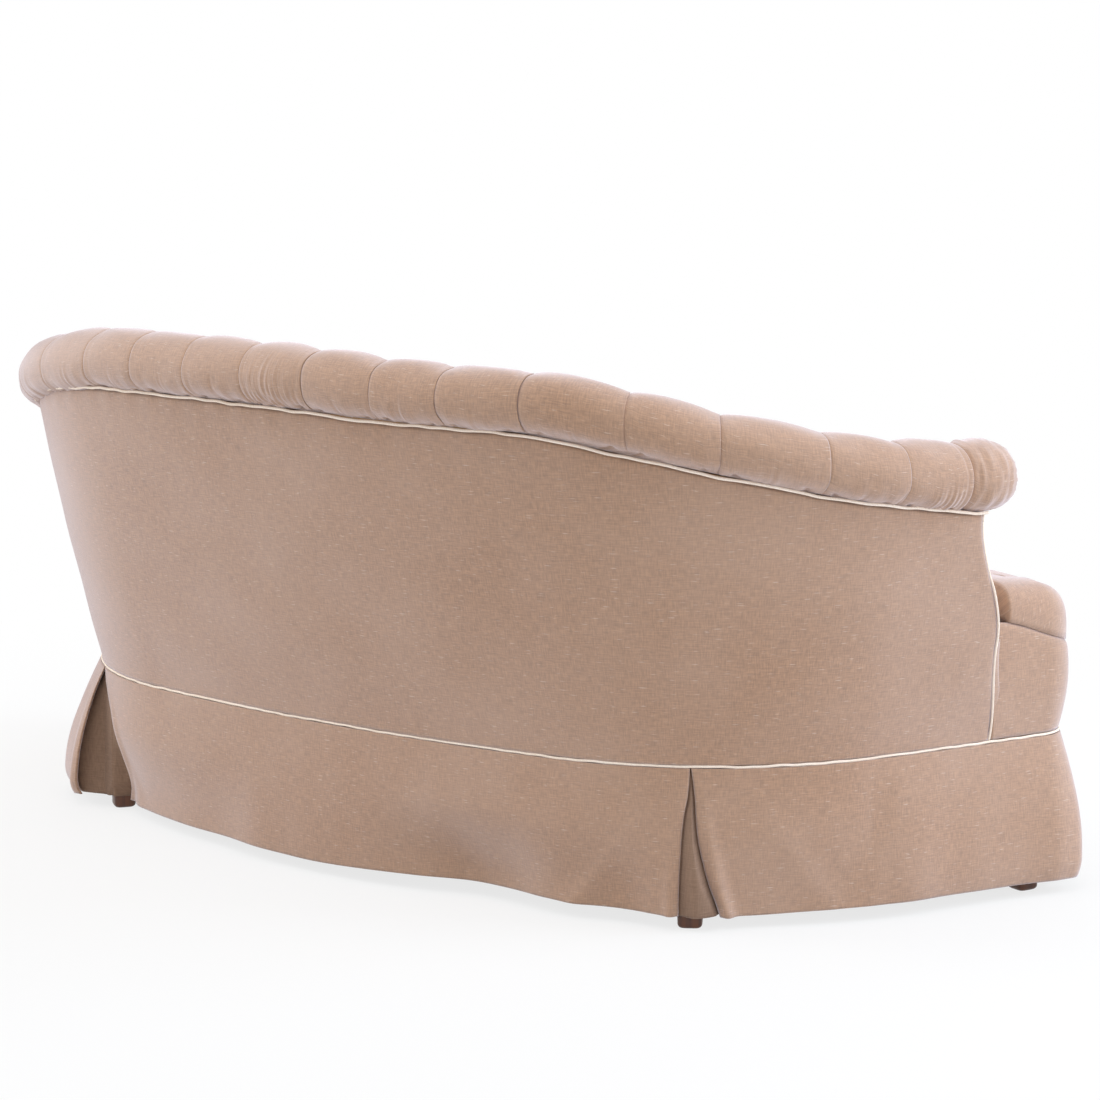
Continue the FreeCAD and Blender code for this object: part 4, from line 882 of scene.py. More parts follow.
class MakeButtons(bpy.types.Operator):
    """Make the covered buttons in their two rows"""
    bl_idname = "settee.make_buttons"
    bl_label = "Buttons"

    def execute(self, context):
        shape = context.scene.settee_shape
        made = []
        for share, start in ((UPPER_ROW, 0.5), (LOWER_ROW, 0.0)):
            for i in range(9):
                distance = (start + i) * PITCH
                if distance > LAST_PLEAT - 0.001:
                    continue
                for side in ((1, -1) if distance > 0 else (1,)):
                    made.append(self.dome(side * distance, share, shape))
        buttons = joined("covered_buttons", made)
        dress(buttons, "linen", ["back_buttons"])
        return {"FINISHED"}

    def dome(self, s, share, shape):
        """A dome whose height is (1 - r^2.4), round an axis square to the leaning face."""
        z0 = float(row_height(s, share))
        slope = float(inner_crown(s, z0 + 0.01) - inner_crown(s, z0 - 0.01)) / 0.02
        r = np.array([0.93, 1.0, 0.97, 0.9, 0.78, 0.62, 0.44, 0.24, 0.06])[:, None]
        rise = np.array([-0.4, 0.0, 0.25, 0.45, 0.63, 0.78, 0.9, 0.97, 1.0])[:, None] * shape.button_rise
        turn = np.linspace(0.0, 2.0 * math.pi, 24, endpoint=False)[None, :]
        up = shape.button_radius * r * np.sin(turn)
        back = float(inner_crown(s, z0)) + 0.0165
        points = place(s + shape.button_radius * r * np.cos(turn), back - rise + up * slope, z0 + up)
        uv = np.stack([np.append(shape.button_radius * r * np.cos(turn), shape.button_radius * r, axis=1),
                       np.append(up, 0.0 * r, axis=1)], axis=-1) + s
        return surface("button", points, uv, ring=True, capped=True)


class MakeArmFronts(bpy.types.Operator):
    """Make the padded fronts of the arms"""
    bl_idname = "settee.make_arm_fronts"
    bl_label = "Arm fronts"

    def execute(self, context):
        for word, side in (("left", 1), ("right", -1)):
            z = np.linspace(SEAM_HEIGHT + 0.0012, float(top_height(ARM_TOP_REACH)) - 0.0006, 46)[:, None]
            edge = arm_edge(z)
            outer = skin(np.minimum(edge, FALL_END), z) - 0.0040
            back = base_line(LAST_PLEAT, z) - STUFFING_BACK
            inner = inner_crown(LAST_PLEAT, z) + 0.005
            mid = (outer + inner) / 2.0
            turn = np.radians(np.linspace(-80.0, 80.0, 30))[None, :]
            pull = 0.0008 * waves(turn * 0.04, z, 0.012, 0.2, 41 + side) * smooth((z - 0.48) / 0.08)
            reach = edge - 0.016 + (0.032 + pull) * np.cos(turn) ** 0.7
            n = mid + (outer - inner) / 2.0 * np.sin(turn)
            nose = arm_place(side, reach, n, z + 0.0 * n)
            close = [arm_place(side, edge - 0.010, outer, z), arm_place(side, edge - 0.014, back, z),
                     place(side * (LAST_PLEAT + 0.0005) + 0.0 * z, back, z),
                     place(side * (LAST_PLEAT + 0.0005) + 0.0 * z, inner + 0.009, z),
                     arm_place(side, edge - 0.038, inner - 0.002, z)]
            points = np.concatenate([nose] + close, axis=1)
            front = surface("arm_front_pad_" + word, points, ring_uv(points, z, 0.02), ring=True, capped=True)
            dress(front, "linen", ["arm_front_" + word])
            self.foot_of_pad(word, side)
        return {"FINISHED"}

    def foot_of_pad(self, word, side):
        """The pad's foot between the leaning cover and the seat's border, narrowing downwards."""
        z = np.linspace(0.262, SEAM_HEIGHT + 0.0008, 34)[:, None]
        edge = arm_edge(z)
        outer = skin(np.minimum(edge, FALL_END), z) - 0.0040
        inner = np.minimum(0.0108, outer - 0.0006)
        turn = np.radians(np.linspace(-80.0, 80.0, 24))[None, :]
        reach = edge - 0.012 + 0.028 * smooth((z - 0.240) / 0.070) * np.cos(turn) ** 0.7
        n = (outer + inner) / 2.0 + (outer - inner) / 2.0 * np.sin(turn)
        nose = arm_place(side, reach, n, z + 0.0 * n)
        close = [arm_place(side, edge - 0.014, outer - (outer - inner) * part, z)
                 for part in (0.05, 0.5, 0.95)]
        points = np.concatenate([nose] + close, axis=1)
        foot = surface("arm_pad_foot_" + word, points, ring_uv(points, z, 0.01), ring=True, capped=True)
        dress(foot, "linen", ["arm_front_" + word])


class MakeOutsideCover(bpy.types.Operator):
    """Make the outside cover of the back and the arms"""
    bl_idname = "settee.make_outside_cover"
    bl_label = "Outside cover"

    def execute(self, context):
        shape = context.scene.settee_shape
        u = np.linspace(-1.0, 1.0, 520)[None, :]
        t = np.linspace(0.0, 1.0, 90)[:, None]
        low = SKIRT_HEIGHT + 0.0022
        s = u * (ARM_FOOT_REACH - 0.004)
        for _ in range(3):
            z = low + (top_height(s) - 0.0022 - low) * t
            s = u * (arm_edge(z) - 0.0012)
        n = skin(s, z) + 0.0008 * waves(s, z, 0.40, 0.26, 51)
        rim = 0.0016 * np.exp(-(1.0 - t) / 0.012) - 0.0016 * np.exp(-t / 0.020)
        n = n - rim - 0.0020 * np.exp(-(1.0 - np.abs(u)) / 0.0035)
        tacks = 0.0006 * np.cos(2.0 * math.pi * s / 0.047) * np.exp(-(1.0 - t) / 0.05)
        n = n + tacks - 0.0022 * np.exp(-((s - 0.64) / 0.011) ** 2 - ((z - 0.532) / 0.011) ** 2)
        points = place(s, n, z)
        cover = surface("outside_cover", points, sheet_uv(s, z), sheet_side=outward(s + 0.0 * z))
        thicken(cover, shape.cover_thickness)
        dress(cover, "linen", ["outside_back"])
        # The CAD's cover has 0.93 square metres.
        return {"FINISHED"}


class MakeSeat(bpy.types.Operator):
    """Make the stuffed seat with its bull-nosed edge"""
    bl_idname = "settee.make_seat"
    bl_label = "Seat"

    def execute(self, context):
        edge = float(arm_edge(SEAM_HEIGHT)) + 0.018
        rear = np.linspace(0.0, LAST_PLEAT, 86)
        ear = np.linspace(LAST_PLEAT, edge, 10)[1:]
        side_s = np.concatenate([np.linspace(edge + 0.001, edge + 0.030, 12),
                                 np.linspace(edge + 0.030, CORNER_START, 14)[1:],
                                 np.linspace(CORNER_START, CORNER_END, 18)[1:],
                                 np.linspace(CORNER_END, HALF_LENGTH, 90)[1:]])
        s = np.concatenate([rear, ear, side_s])[None, :]
        turn = np.radians(np.concatenate([[0.0, 0.0], np.linspace(0.0, 90.0, 26)]))[:, None]
        low, high = seam_height(s), rim_height(s)
        z = low + (high - low) * np.sin(turn) ** 0.72
        z[0] = 0.335
        corner = np.exp(-((s - CORNER_MIDDLE) / 0.05) ** 2)
        nose = 0.060 * (1.0 - np.maximum(np.cos(turn), 0.0) ** 0.72)
        out = 0.005 + 0.0035 * corner + 0.0025 * np.sin(2 * turn) - nose
        out[0], out[1] = -0.0035, 0.0005
        gap = 0.0012 + 0.006 * (1.0 - np.cos(turn))
        count, flat = len(rear), len(rear) + len(ear)
        n_rear = inner_crown(s[:, :count], np.minimum(z[:, :count], SEAT_HEIGHT)) - gap
        n_ear = inner_crown(LAST_PLEAT, np.minimum(z[:, count:flat], SEAT_HEIGHT)) - gap
        across = np.linspace(0.0, 1.0, 13)[1:]
        n_in, outer = n_ear[:, -1:], out[:, flat:]
        n_side = np.concatenate([n_in + (outer[:, :12] - n_in) * across[None, :], outer[:, 12:]], axis=1)
        s = s + 0.0 * z
        n = np.concatenate([n_rear, n_ear, n_side], axis=1)
        half = place(s, n, z)
        mirror = half[:, -2:0:-1] * MIRROR
        wall = np.concatenate([half, mirror], axis=1)
        rim = wall[-1]
        core = rim * 0.0
        rim_y = half[-1, :, 1]
        ear_y = rim_y[flat - 1]
        spine = np.interp(np.arange(len(rim_y)), [0, flat - 1, flat + 11, len(rim_y) - 1],
                          [rim_y[0] - 0.05, ear_y - 0.015, ear_y - 0.050,
                           min(rim_y[-1] + 0.05, ear_y - 0.070)])
        core[:, 1] = np.concatenate([spine, spine[-2:0:-1]])
        t = np.linspace(0.0, 1.0, 40)[1:, None, None]
        top = rim[None] + (core[None] - rim[None]) * t
        top[..., 2] = self.seat_top(top[..., :2], rim)
        points = np.concatenate([wall, top])
        away = points[:, :, :2] - np.array([0.0, -0.16])
        away = away / np.maximum(np.linalg.norm(away, axis=-1, keepdims=True), 1e-6)
        drop = np.clip(SEAT_HEIGHT - points[..., 2:], 0.0, None)
        uv = points[..., :2] + away * drop
        uv = np.concatenate([uv, uv[:, :1]], axis=1)
        seat = surface("seat_cushion", points, uv, ring=True, capped="first")
        weld(seat)
        dress(seat, "linen", ["seat_pad"])
        return {"FINISHED"}

    def seat_top(self, where, rim):
        """Height over the seat: the rim's, averaged nearby, and inwards a crown, within 17 cm."""
        flat = where.reshape(-1, 2)
        far = np.hypot(flat[:, :1] - rim[None, :, 0], flat[:, 1:] - rim[None, :, 1])
        near = far.min(axis=1, keepdims=True)
        weight = np.exp(-(far - near) / (0.003 + 0.5 * near))
        edge = (weight * rim[None, :, 2]).sum(axis=1) / weight.sum(axis=1)
        x, y = flat[:, 0], flat[:, 1]
        bulge = 1.0 - np.minimum(np.abs(x) / 0.85, 1.0) ** 4
        bulge = bulge * (1.0 - np.minimum(np.abs(y + 0.13) / 0.40, 1.0) ** 2)
        crown = SEAT_HEIGHT + 0.002 + SEAT_CROWN * bulge + 0.0014 * waves(x, y, 0.35, 0.30, 61)
        inward = smooth(near[:, 0] / 0.17)
        return (edge + (crown - edge) * inward).reshape(where.shape[:-1])


class MakeBorders(bpy.types.Operator):
    """Make the borders between the seat's seam and the skirt"""
    bl_idname = "settee.make_borders"
    bl_label = "Seat borders"

    def execute(self, context):
        low = SKIRT_HEIGHT + 0.0025
        t = np.linspace(0.0, 1.0, 26)[:, None]
        level = low + (SEAM_HEIGHT - 0.0004 - low) * t
        start = float(arm_edge(SEAM_HEIGHT)) - 0.003
        front = np.concatenate([np.linspace(CORNER_MIDDLE + 0.0004, CORNER_END, 12)[:-1],
                                np.linspace(CORNER_END, HALF_LENGTH, 120)])
        spans = [("front", 0, front[None, :])]
        corner = np.concatenate([np.linspace(0.0, 1.0, 30)[:-1] * 0.86, np.linspace(0.86, 1.0, 12)])[None, :]
        for word, side in (("left", 1), ("right", -1)):
            begin = np.maximum(arm_edge(level) + 0.0028, start - 0.02)
            spans.append((word, side, side * (begin + (CORNER_MIDDLE - 0.0004 - begin) * corner)))
        for word, side, s in spans:
            s = s + 0.0 * level
            z = low + (seam_height(s) - 0.0004 - low) * t
            seam = np.exp(-np.abs(np.abs(s) - CORNER_MIDDLE) / 0.004)
            corner = np.exp(-((np.abs(s) - CORNER_MIDDLE) / 0.05) ** 2)
            n = 0.001 + 0.0045 * t + (0.0045 + 0.004 * corner) * np.sin(math.pi * t) ** 0.8 - 0.0030 * seam
            n = n + 0.0035 * corner * t
            n = n + 0.0006 * waves(s, z, 0.12, 0.10, 71) - 0.0022 * np.exp(-(1.0 - t) / 0.02)
            points = place(s, n, z)
            if side == 0:
                mirrored = points[:, -2::-1] * MIRROR
                points = np.concatenate([points, mirrored], axis=1)
                s = np.concatenate([s, 2.0 * HALF_LENGTH - s[:, -2::-1]], axis=1)
            border = surface("seat_band_" + word, points, sheet_uv(s, points[..., 2]),
                             sheet_side=level_look(points))
            thicken(border, 0.0022)
            dress(border, "linen", ["seat_border_" + word])
        return {"FINISHED"}


# Offset of each panel's hem at places along it: it is drawn in between the feet and flares at pleats
HEMS = {
    "back": ((-0.590, -0.561, -0.530, -0.495, -0.432, -0.364, -0.300, -0.235, -0.190, -0.140, -0.090,
              -0.020, 0.055, 0.140, 0.245, 0.347, 0.450, 0.500, 0.590),
             (0.003, 0.004, -0.010, -0.022, -0.022, -0.022, -0.038, -0.046, -0.036, -0.018, -0.009,
              -0.003, 0.001, -0.002, -0.012, -0.018, -0.025, -0.030, -0.036)),
    "right": ((-1.200, -1.170, -1.117, -1.052, -0.983, -0.909, -0.855, -0.795, -0.734, -0.674, -0.645, -0.625,
               -0.605, -0.580),
              (0.037, 0.035, 0.024, 0.018, 0.014, 0.018, 0.001, -0.010, -0.012, -0.012, -0.013, -0.010,
               -0.002, 0.000)),
    "left": ((0.580, 0.650, 0.720, 0.780, 0.860, 0.950, 1.050, 1.120, 1.170, 1.200),
             (0.048, 0.058, 0.058, 0.048, 0.024, 0.012, 0.016, 0.024, 0.034, 0.034)),
    "front": ((1.190, 1.230, 1.300, 1.400, 1.600, 1.800, 2.046, 2.400, 2.700, 2.800, 2.862, 2.902),
              (0.036, 0.030, 0.012, -0.004, -0.012, -0.008, -0.014, -0.010, -0.004, 0.012, 0.030, 0.036)),
}

# How far, in mm, a panel's first and last edges draw back at each tenth of the way down
EVEN = (0.0, 0.2, 0.5, 1.0, 1.7, 2.5, 3.6, 4.8, 6.0, 7.2, 8.0)
DRAWS = {
    "back": ((0.0, 1.0, 3.0, 7.0, 9.5, 11.0, 12.0, 13.0, 13.7, 14.0, 14.0),
             (0.0, 4.0, 18.0, 36.0, 48.0, 54.0, 56.0, 54.0, 48.0, 38.0, 27.0)),
    "right": (EVEN, (0.0, 3.0, 5.5, 6.5, 8.0, 10.5, 15.0, 20.0, 26.0, 34.0, 41.0)),
    "left": ((0.0, 5.0, 6.0, 4.0, 2.0, 1.5, 1.5, 2.0, 3.5, 6.5, 11.0), EVEN),
    "front": (EVEN, EVEN),
}


# Soft ridges that run down a panel: s at the top, its run to the hem, height, half width at the hem
RIDGES = {
    "back": ((-0.580, 0.165, 0.0060, 0.024), (-0.20, 0.03, 0.0030, 0.040), (0.18, -0.02, 0.0030, 0.045),
             (0.560, -0.060, 0.0040, 0.025)),
    "right": ((-0.597, -0.040, 0.0060, 0.012), (-0.640, -0.150, 0.0035, 0.030),
              (-0.900, 0.060, 0.0030, 0.030)),
    "left": ((0.640, 0.050, 0.0040, 0.025), (0.950, 0.020, 0.0035, 0.030)),
    "front": ((1.340, 0.050, 0.0040, 0.030), (1.800, -0.030, 0.0030, 0.035), (2.300, 0.030, 0.0035, 0.035),
              (2.760, -0.050, 0.0040, 0.030)),
}


def ridge(panel, s, u):
    """Sum of a panel's ridges, each a bell across that grows and widens with u down the panel."""
    return sum(height * u ** 1.2 * np.exp(-((s - start - run * u) / (width * (0.35 + 0.65 * u))) ** 2)
               for start, run, height, width in RIDGES[panel])


def draw_back(panel, last, u):
    """How far the first or the last edge of a panel draws back at u down it."""
    return np.interp(u, np.linspace(0.0, 1.0, 11), DRAWS[panel][last]) * MM


# Offset of each underlay's hem at distances across it: it bulges out over the foot
UNDERLAYS = {
    "back_left": ((-0.066, -0.048, -0.030, -0.023, -0.010, 0.003, 0.014, 0.028, 0.060),
                  (-0.042, -0.036, -0.016, 0.002, 0.006, 0.012, 0.030, 0.052, 0.056)),
    "back_right": ((-0.060, -0.045, -0.036, -0.027, -0.018, -0.008, 0.000, 0.008, 0.016, 0.027, 0.060),
                   (-0.020, -0.010, 0.004, 0.012, 0.018, 0.022, 0.018, 0.009, 0.002, -0.001, -0.010)),
    "front_left": ((-0.060, -0.030, 0.000, 0.030, 0.060), (0.008, 0.014, 0.020, 0.020, 0.012)),
    "front_right": ((-0.060, -0.030, 0.000, 0.030, 0.060), (0.012, 0.020, 0.020, 0.014, 0.008)),
}


def hem_offset(panel, s):
    """Offset of a panel's hem: its table, rounded by an average over 5 cm."""
    places, offsets = HEMS[panel]
    spread = np.linspace(-0.025, 0.025, 9)
    return sum(np.interp(s + shift, places, offsets) for shift in spread) / len(spread)


def hang(hem, u):
    """Offset down a hanging panel, u from 0 at the top to 1 at the hem.

    An outward hem swings out as a sine and curls in at its foot; an inward one clears the rail
    and then swings in along a smooth step.
    """
    out = np.sin(np.minimum(u / 0.88, 1.0) * math.pi / 2.0) - 0.16 * np.clip((u - 0.87) / 0.13, 0.0, 1.0) ** 2
    return np.maximum(hem, 0.0) * out + np.minimum(hem, 0.0) * smooth((u - 0.375) / 0.55)


def skirt_sheet(panel, first, last, seed):
    """A panel from s = first to last, with its edges folded back at the pleats.

    The edges draw back from the pleats by their tables, and soft flutes grow with u.
    """
    length = last - first
    count = max(60, int(length / 0.0035))
    back = np.linspace(0.016, 0.0, 10)[:-1]
    run = np.concatenate([-back, np.linspace(0.0, 1.0, count) * length, length + back[::-1]])[None, :]
    u = np.linspace(0.0, 1.0, 64)[:, None]
    inside = np.clip(run, 0.0, length)
    past = np.abs(run - inside)
    left = (1.0 - smooth(inside / 0.25)) * draw_back(panel, 0, u)
    right = (1.0 - smooth((length - inside) / 0.25)) * draw_back(panel, 1, u)
    folded = np.where(run < inside, past, 0.0) - np.where(run > inside, past, 0.0)
    s = first + inside + left - right + folded
    flutes = 0.0012 * u ** 1.3 * waves(s, u, 0.20, 2.5, seed)
    edge = np.minimum(inside, length - inside)
    lip = u ** 1.5 * (0.0060 * np.exp(-((edge - 0.013) / 0.009) ** 2) - 0.0030 * np.exp(-(edge / 0.005) ** 2))
    top, hem = SKIRT_HEIGHT - 0.0022, HEM_HEIGHT + 0.0025 + 0.0015 * waves(s, 0.0 * s, 0.4, 1.0, seed + 2)
    z = top + (hem - top) * u
    clear = 0.0034 + np.clip(flutes, -0.0016 - 0.006 * smooth((RAIL_BOTTOM - z) / 0.03), None)
    n = clear + hang(hem_offset(panel, s), u) + ridge(panel, s, u) + lip
    return s, n - 0.0036 * np.minimum(past / 0.003, 1.0), z


class MakeSkirt(bpy.types.Operator):
    """Make the skirt's panels and the underlays behind its kick pleats"""
    bl_idname = "settee.make_skirt"
    bl_label = "Skirt"

    def execute(self, context):
        gap = PLEAT_GAP
        front_half = HALF_LENGTH * 2.0 - CORNER_MIDDLE
        panels = {"back": (-FOOT_PLACE + gap, FOOT_PLACE - gap, 81),
                  "left": (FOOT_PLACE + gap, CORNER_MIDDLE - gap, 84),
                  "right": (-CORNER_MIDDLE + gap, -FOOT_PLACE - gap, 87),
                  "front": (CORNER_MIDDLE + gap, front_half - gap, 90)}
        for word, (first, last, seed) in panels.items():
            s, n, z = skirt_sheet(word, first, last, seed)
            points = self.turned(s, n, z)
            panel = surface("skirt_panel_" + word, points, sheet_uv(s, z), sheet_side=level_look(points))
            thicken(panel, CLOTH)
            dress(panel, "linen", ["skirt_" + word])
        for word, middle, near, far in (("back_left", FOOT_PLACE, "back", "left"),
                                        ("back_right", -FOOT_PLACE, "right", "back"),
                                        ("front_left", CORNER_MIDDLE, "left", "front"),
                                        ("front_right", -CORNER_MIDDLE, "front", "right")):
            self.underlay(word, middle, near, far)
        return {"FINISHED"}

    def turned(self, s, n, z):
        """Points of a panel that may run past the middle of the front."""
        beyond = s > HALF_LENGTH
        points = place(np.where(beyond, 2.0 * HALF_LENGTH - s, s), n, z)
        points[..., 0] = np.where(beyond, -points[..., 0], points[..., 0])
        return points

    def underlay(self, word, middle, near, far):
        """The piece behind a pleat: it hangs in front of the foot and has a seam down its middle.

        It stays behind the two panels, and away from their edges it may come out as far as it
        bulges; over the rail and the foot it never goes further in than they are.
        """
        across = np.linspace(-UNDERLAY_HALF, UNDERLAY_HALF, 133)[None, :]
        u = np.linspace(0.0, 1.0, 50)[:, None]
        hem = sum(np.interp(across + shift, *UNDERLAYS[word]) for shift in (-0.003, 0.0, 0.003)) / 3.0
        n = -0.0030 + hang(hem, u)
        s = middle + across
        for panel, last, side in ((near, 1, 1.0), (far, 0, -1.0)):
            wrapped = 2.0 * HALF_LENGTH + s if panel == "front" and middle < 0.0 else s
            behind = 0.0034 + hang(hem_offset(panel, wrapped), u) - 0.0047
            free = np.maximum(side * across + draw_back(panel, last, u) - 0.001, 0.0)
            n = np.minimum(n, behind + 2.2 * free)
        z = SKIRT_HEIGHT - 0.0022 + (HEM_HEIGHT + 0.0025 - SKIRT_HEIGHT + 0.0022) * u + 0.0 * s
        foot = np.abs(across) - 0.0176 - FOOT_TAPER * z / RAIL_BOTTOM
        n = np.maximum(n, -0.0030 - 6.0 * np.maximum(np.where(z > RAIL_BOTTOM, 0.0, foot), 0.0))
        below = smooth((u - 0.376) / 0.3)
        n = n - 0.0008 * np.exp(-(across / 0.0012) ** 2) * below
        points = place(s + 0.0 * u, n, z)
        under = surface("pleat_back_" + word, points, sheet_uv(s, z), sheet_side=level_look(points))
        thicken(under, CLOTH)
        # Its darker linen is painted shade inside the pleat.
        dress(under, "linen", ["pleat_underlay_" + word], "underlay")


class MakeCords(bpy.types.Operator):
    """Make the cream cords along the roll, the arms and the skirt"""
    bl_idname = "settee.make_cords"
    bl_label = "Cords"

    def execute(self, context):
        radius = context.scene.settee_shape.cord_radius
        s = np.linspace(-ARM_TOP_REACH - 0.002, ARM_TOP_REACH + 0.002, 900)
        near = np.abs(np.mod(s / PITCH, 1.0) - 0.5) * PITCH
        dip = 0.0012 * np.exp(-(near / 0.014) ** 2)
        wander = 0.0005 * waves(s, s * 0.0, 0.07, 1.0, 101)
        line = place(s, top_lean(s) + 0.0042, top_height(s) + 0.0008 - dip + wander)
        top = tube("top_cord", line, radius * 1.15)
        dress(top, "cream_piping", ["top_piping"])
        s = np.linspace(0.0, HALF_LENGTH, 1100)
        half = place(s, 0.0014 + 0.0 * s, SKIRT_HEIGHT + 0.0005 * waves(s, s * 0.0, 0.09, 1.0, 102))
        loop = np.concatenate([half, half[-2:0:-1] * MIRROR])
        skirt = tube("skirt_cord", loop, radius, closed=True)
        dress(skirt, "cream_piping", ["skirt_piping"])
        for word, side in (("left", 1), ("right", -1)):
            z = np.linspace(SKIRT_HEIGHT + 0.003, ARM_HEIGHT - 0.002, 160)
            reach = arm_edge(z)
            hidden = 0.0034 * smooth((z - 0.455) / 0.03)
            line = arm_place(side, reach, skin(np.minimum(reach, FALL_END), z) - 0.0012 - hidden, z)
            cord = tube("arm_cord_" + word, line, radius * 0.92)
            dress(cord, "cream_piping", ["arm_piping_" + word])
        return {"FINISHED"}


class MakeFeet(bpy.types.Operator):
    """Make the four tapered feet with rounded edges"""
    bl_idname = "settee.make_feet"
    bl_label = "Feet"

    def execute(self, context):
        front = CORNER_START - 0.040 + 0.023
        for word, s0 in (("back_left", FOOT_PLACE), ("back_right", -FOOT_PLACE),
                         ("front_left", front), ("front_right", -front)):
            bend = np.radians(np.linspace(0.0, 90.0, 9))
            z = np.concatenate([[0.0], TOE * (1.0 - np.cos(bend)),
                                [0.02, 0.06, 0.10, 0.1495, 0.1495]])[:, None]
            ease = np.concatenate([[0.2], 1.0 - TOE * (1.0 - np.sin(bend)) / FOOT_HALF,
                                   [1.0] * 4, [0.7]])[:, None]
            half = FOOT_HALF + FOOT_TAPER * z / RAIL_BOTTOM
            turn = np.linspace(0.0, 2.0 * math.pi, 48, endpoint=False)[None, :]
            c, d = np.cos(turn), np.sin(turn)
            r = half * ease / (np.abs(c) ** 5 + np.abs(d) ** 5) ** 0.2
            out = outward(np.array(s0))
            ahead = np.array([out[1], -out[0], 0.0])
            centre = place(s0, -0.005 - half[:, 0], z[:, 0])[:, None, :]
            points = centre + (r * c)[..., None] * ahead + (r * d)[..., None] * out
            uv = sheet_uv(np.append(turn, [[2.0 * math.pi]], axis=1) * FOOT_HALF, z)
            foot = surface("tapered_foot_" + word, points, uv, ring=True, capped=True)
            dress(foot, "walnut", ["foot_" + word])
        return {"FINISHED"}


class MakeInnerCloths(bpy.types.Operator):
    """Make the webbing, the hessians and the cloth under the seat"""
    bl_idname = "settee.make_inner_cloths"
    bl_label = "Inner cloths"

    def execute(self, context):
        strips = []
        for i in range(6):
            for side in (1, -1):
                centre = side * (0.08325 + 0.1665 * i)
                s = centre + np.linspace(-0.025, 0.025, 8)[None, :]
                high = float(rail_top(centre)) - 0.0167
                z = np.linspace(TACK_RAIL_TOP, high, 16)[:, None]
                n = base_line(centre, z) - 0.0020 + 0.0 * s
                points = place(s + 0.0 * z, n, z + 0.0 * s)
                strips.append(surface("strip", points, sheet_uv(s, z), sheet_side=outward(s + 0.0 * z)))
        webbing = joined("back_web_strips", strips)
        thicken(webbing, CLOTH, 0.0)
        dress(webbing, "jute_webbing", ["back_webbing"])
        s = np.linspace(-LAST_PLEAT, LAST_PLEAT, 120)[None, :]
        t = np.linspace(0.0, 1.0, 12)[:, None]
        z = TACK_RAIL_TOP + (rail_top(s) - 0.0006 - TACK_RAIL_TOP) * t
        points = place(s + 0.0 * t, base_line(s, z) - 0.0051, z)
        hessian = surface("back_hessian_cloth", points, sheet_uv(s, z), sheet_side=outward(s + 0.0 * t))
        thicken(hessian, 0.0010, 0.0)
        dress(hessian, "hessian", ["back_hessian"])
        self.plan_cloth("seat_hessian_cloth", "seat_hessian", "hessian", -0.016, 0.0012, 0.30)
        self.plan_cloth("bottom_cloth", "dust_cover", "black_cambric", -0.014, 0.0008, 0.0)
        return {"FINISHED"}

    def plan_cloth(self, name, node, slot, inset, thickness, ear):
        """A level cloth inside the outline: straight lines from the front edge to the back."""
        low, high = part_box(node)
        level = (low[2] + high[2]) / 2.0
        reach = CORNER_START - 0.02 if ear == 0.0 else 1.02
        s = np.linspace(-LAST_PLEAT if ear else -reach, LAST_PLEAT if ear else reach, 121)
        rear_n = inner_crown(s, SEAT_HEIGHT) - 0.008 if ear else inset + 0.0 * s
        rear = place(s, rear_n, level + 0.0 * s)
        ahead = np.linspace(-1.0, 1.0, 121)
        f = HALF_LENGTH - (HALF_LENGTH - CORNER_END) * np.abs(ahead)
        front = place(f, inset + 0.0 * f, level + 0.0 * f)
        front[:, 0] = np.abs(front[:, 0]) * np.sign(ahead)
        t = np.linspace(0.0, 1.0, 40)[:, None, None]
        points = rear[None] + (front[None] - rear[None]) * t
        sag = 0.002 * np.sin(math.pi * t[..., 0]) * np.cos(ahead * math.pi / 2.0)[None, :]
        points[..., 2] -= sag if ear == 0.0 else 0.0
        look = np.zeros_like(points)
        look[..., 2] = -1.0
        cloth = surface(name, points, points[..., :2].copy(), sheet_side=look)
        thicken(cloth, thickness, 0.0)
        dress(cloth, slot, [node])


class FinishFrame(bpy.types.Operator):
    """Give the timber, the springs and the bolts their finishes"""
    bl_idname = "settee.finish_frame"
    bl_label = "Frame finishes"

    def execute(self, context):
        slots = {part["node"]: part["material_slot"] for part in frame["record"]["subparts"]}
        for name, obj in frame["nodes"].items():
            if slots[name] in ("beech", "spring_steel", "zinc_steel", "twine"):
                for material_slot in obj.material_slots:
                    material_slot.link = "OBJECT"
                    material_slot.material = material_for(slots[name])
        return {"FINISHED"}


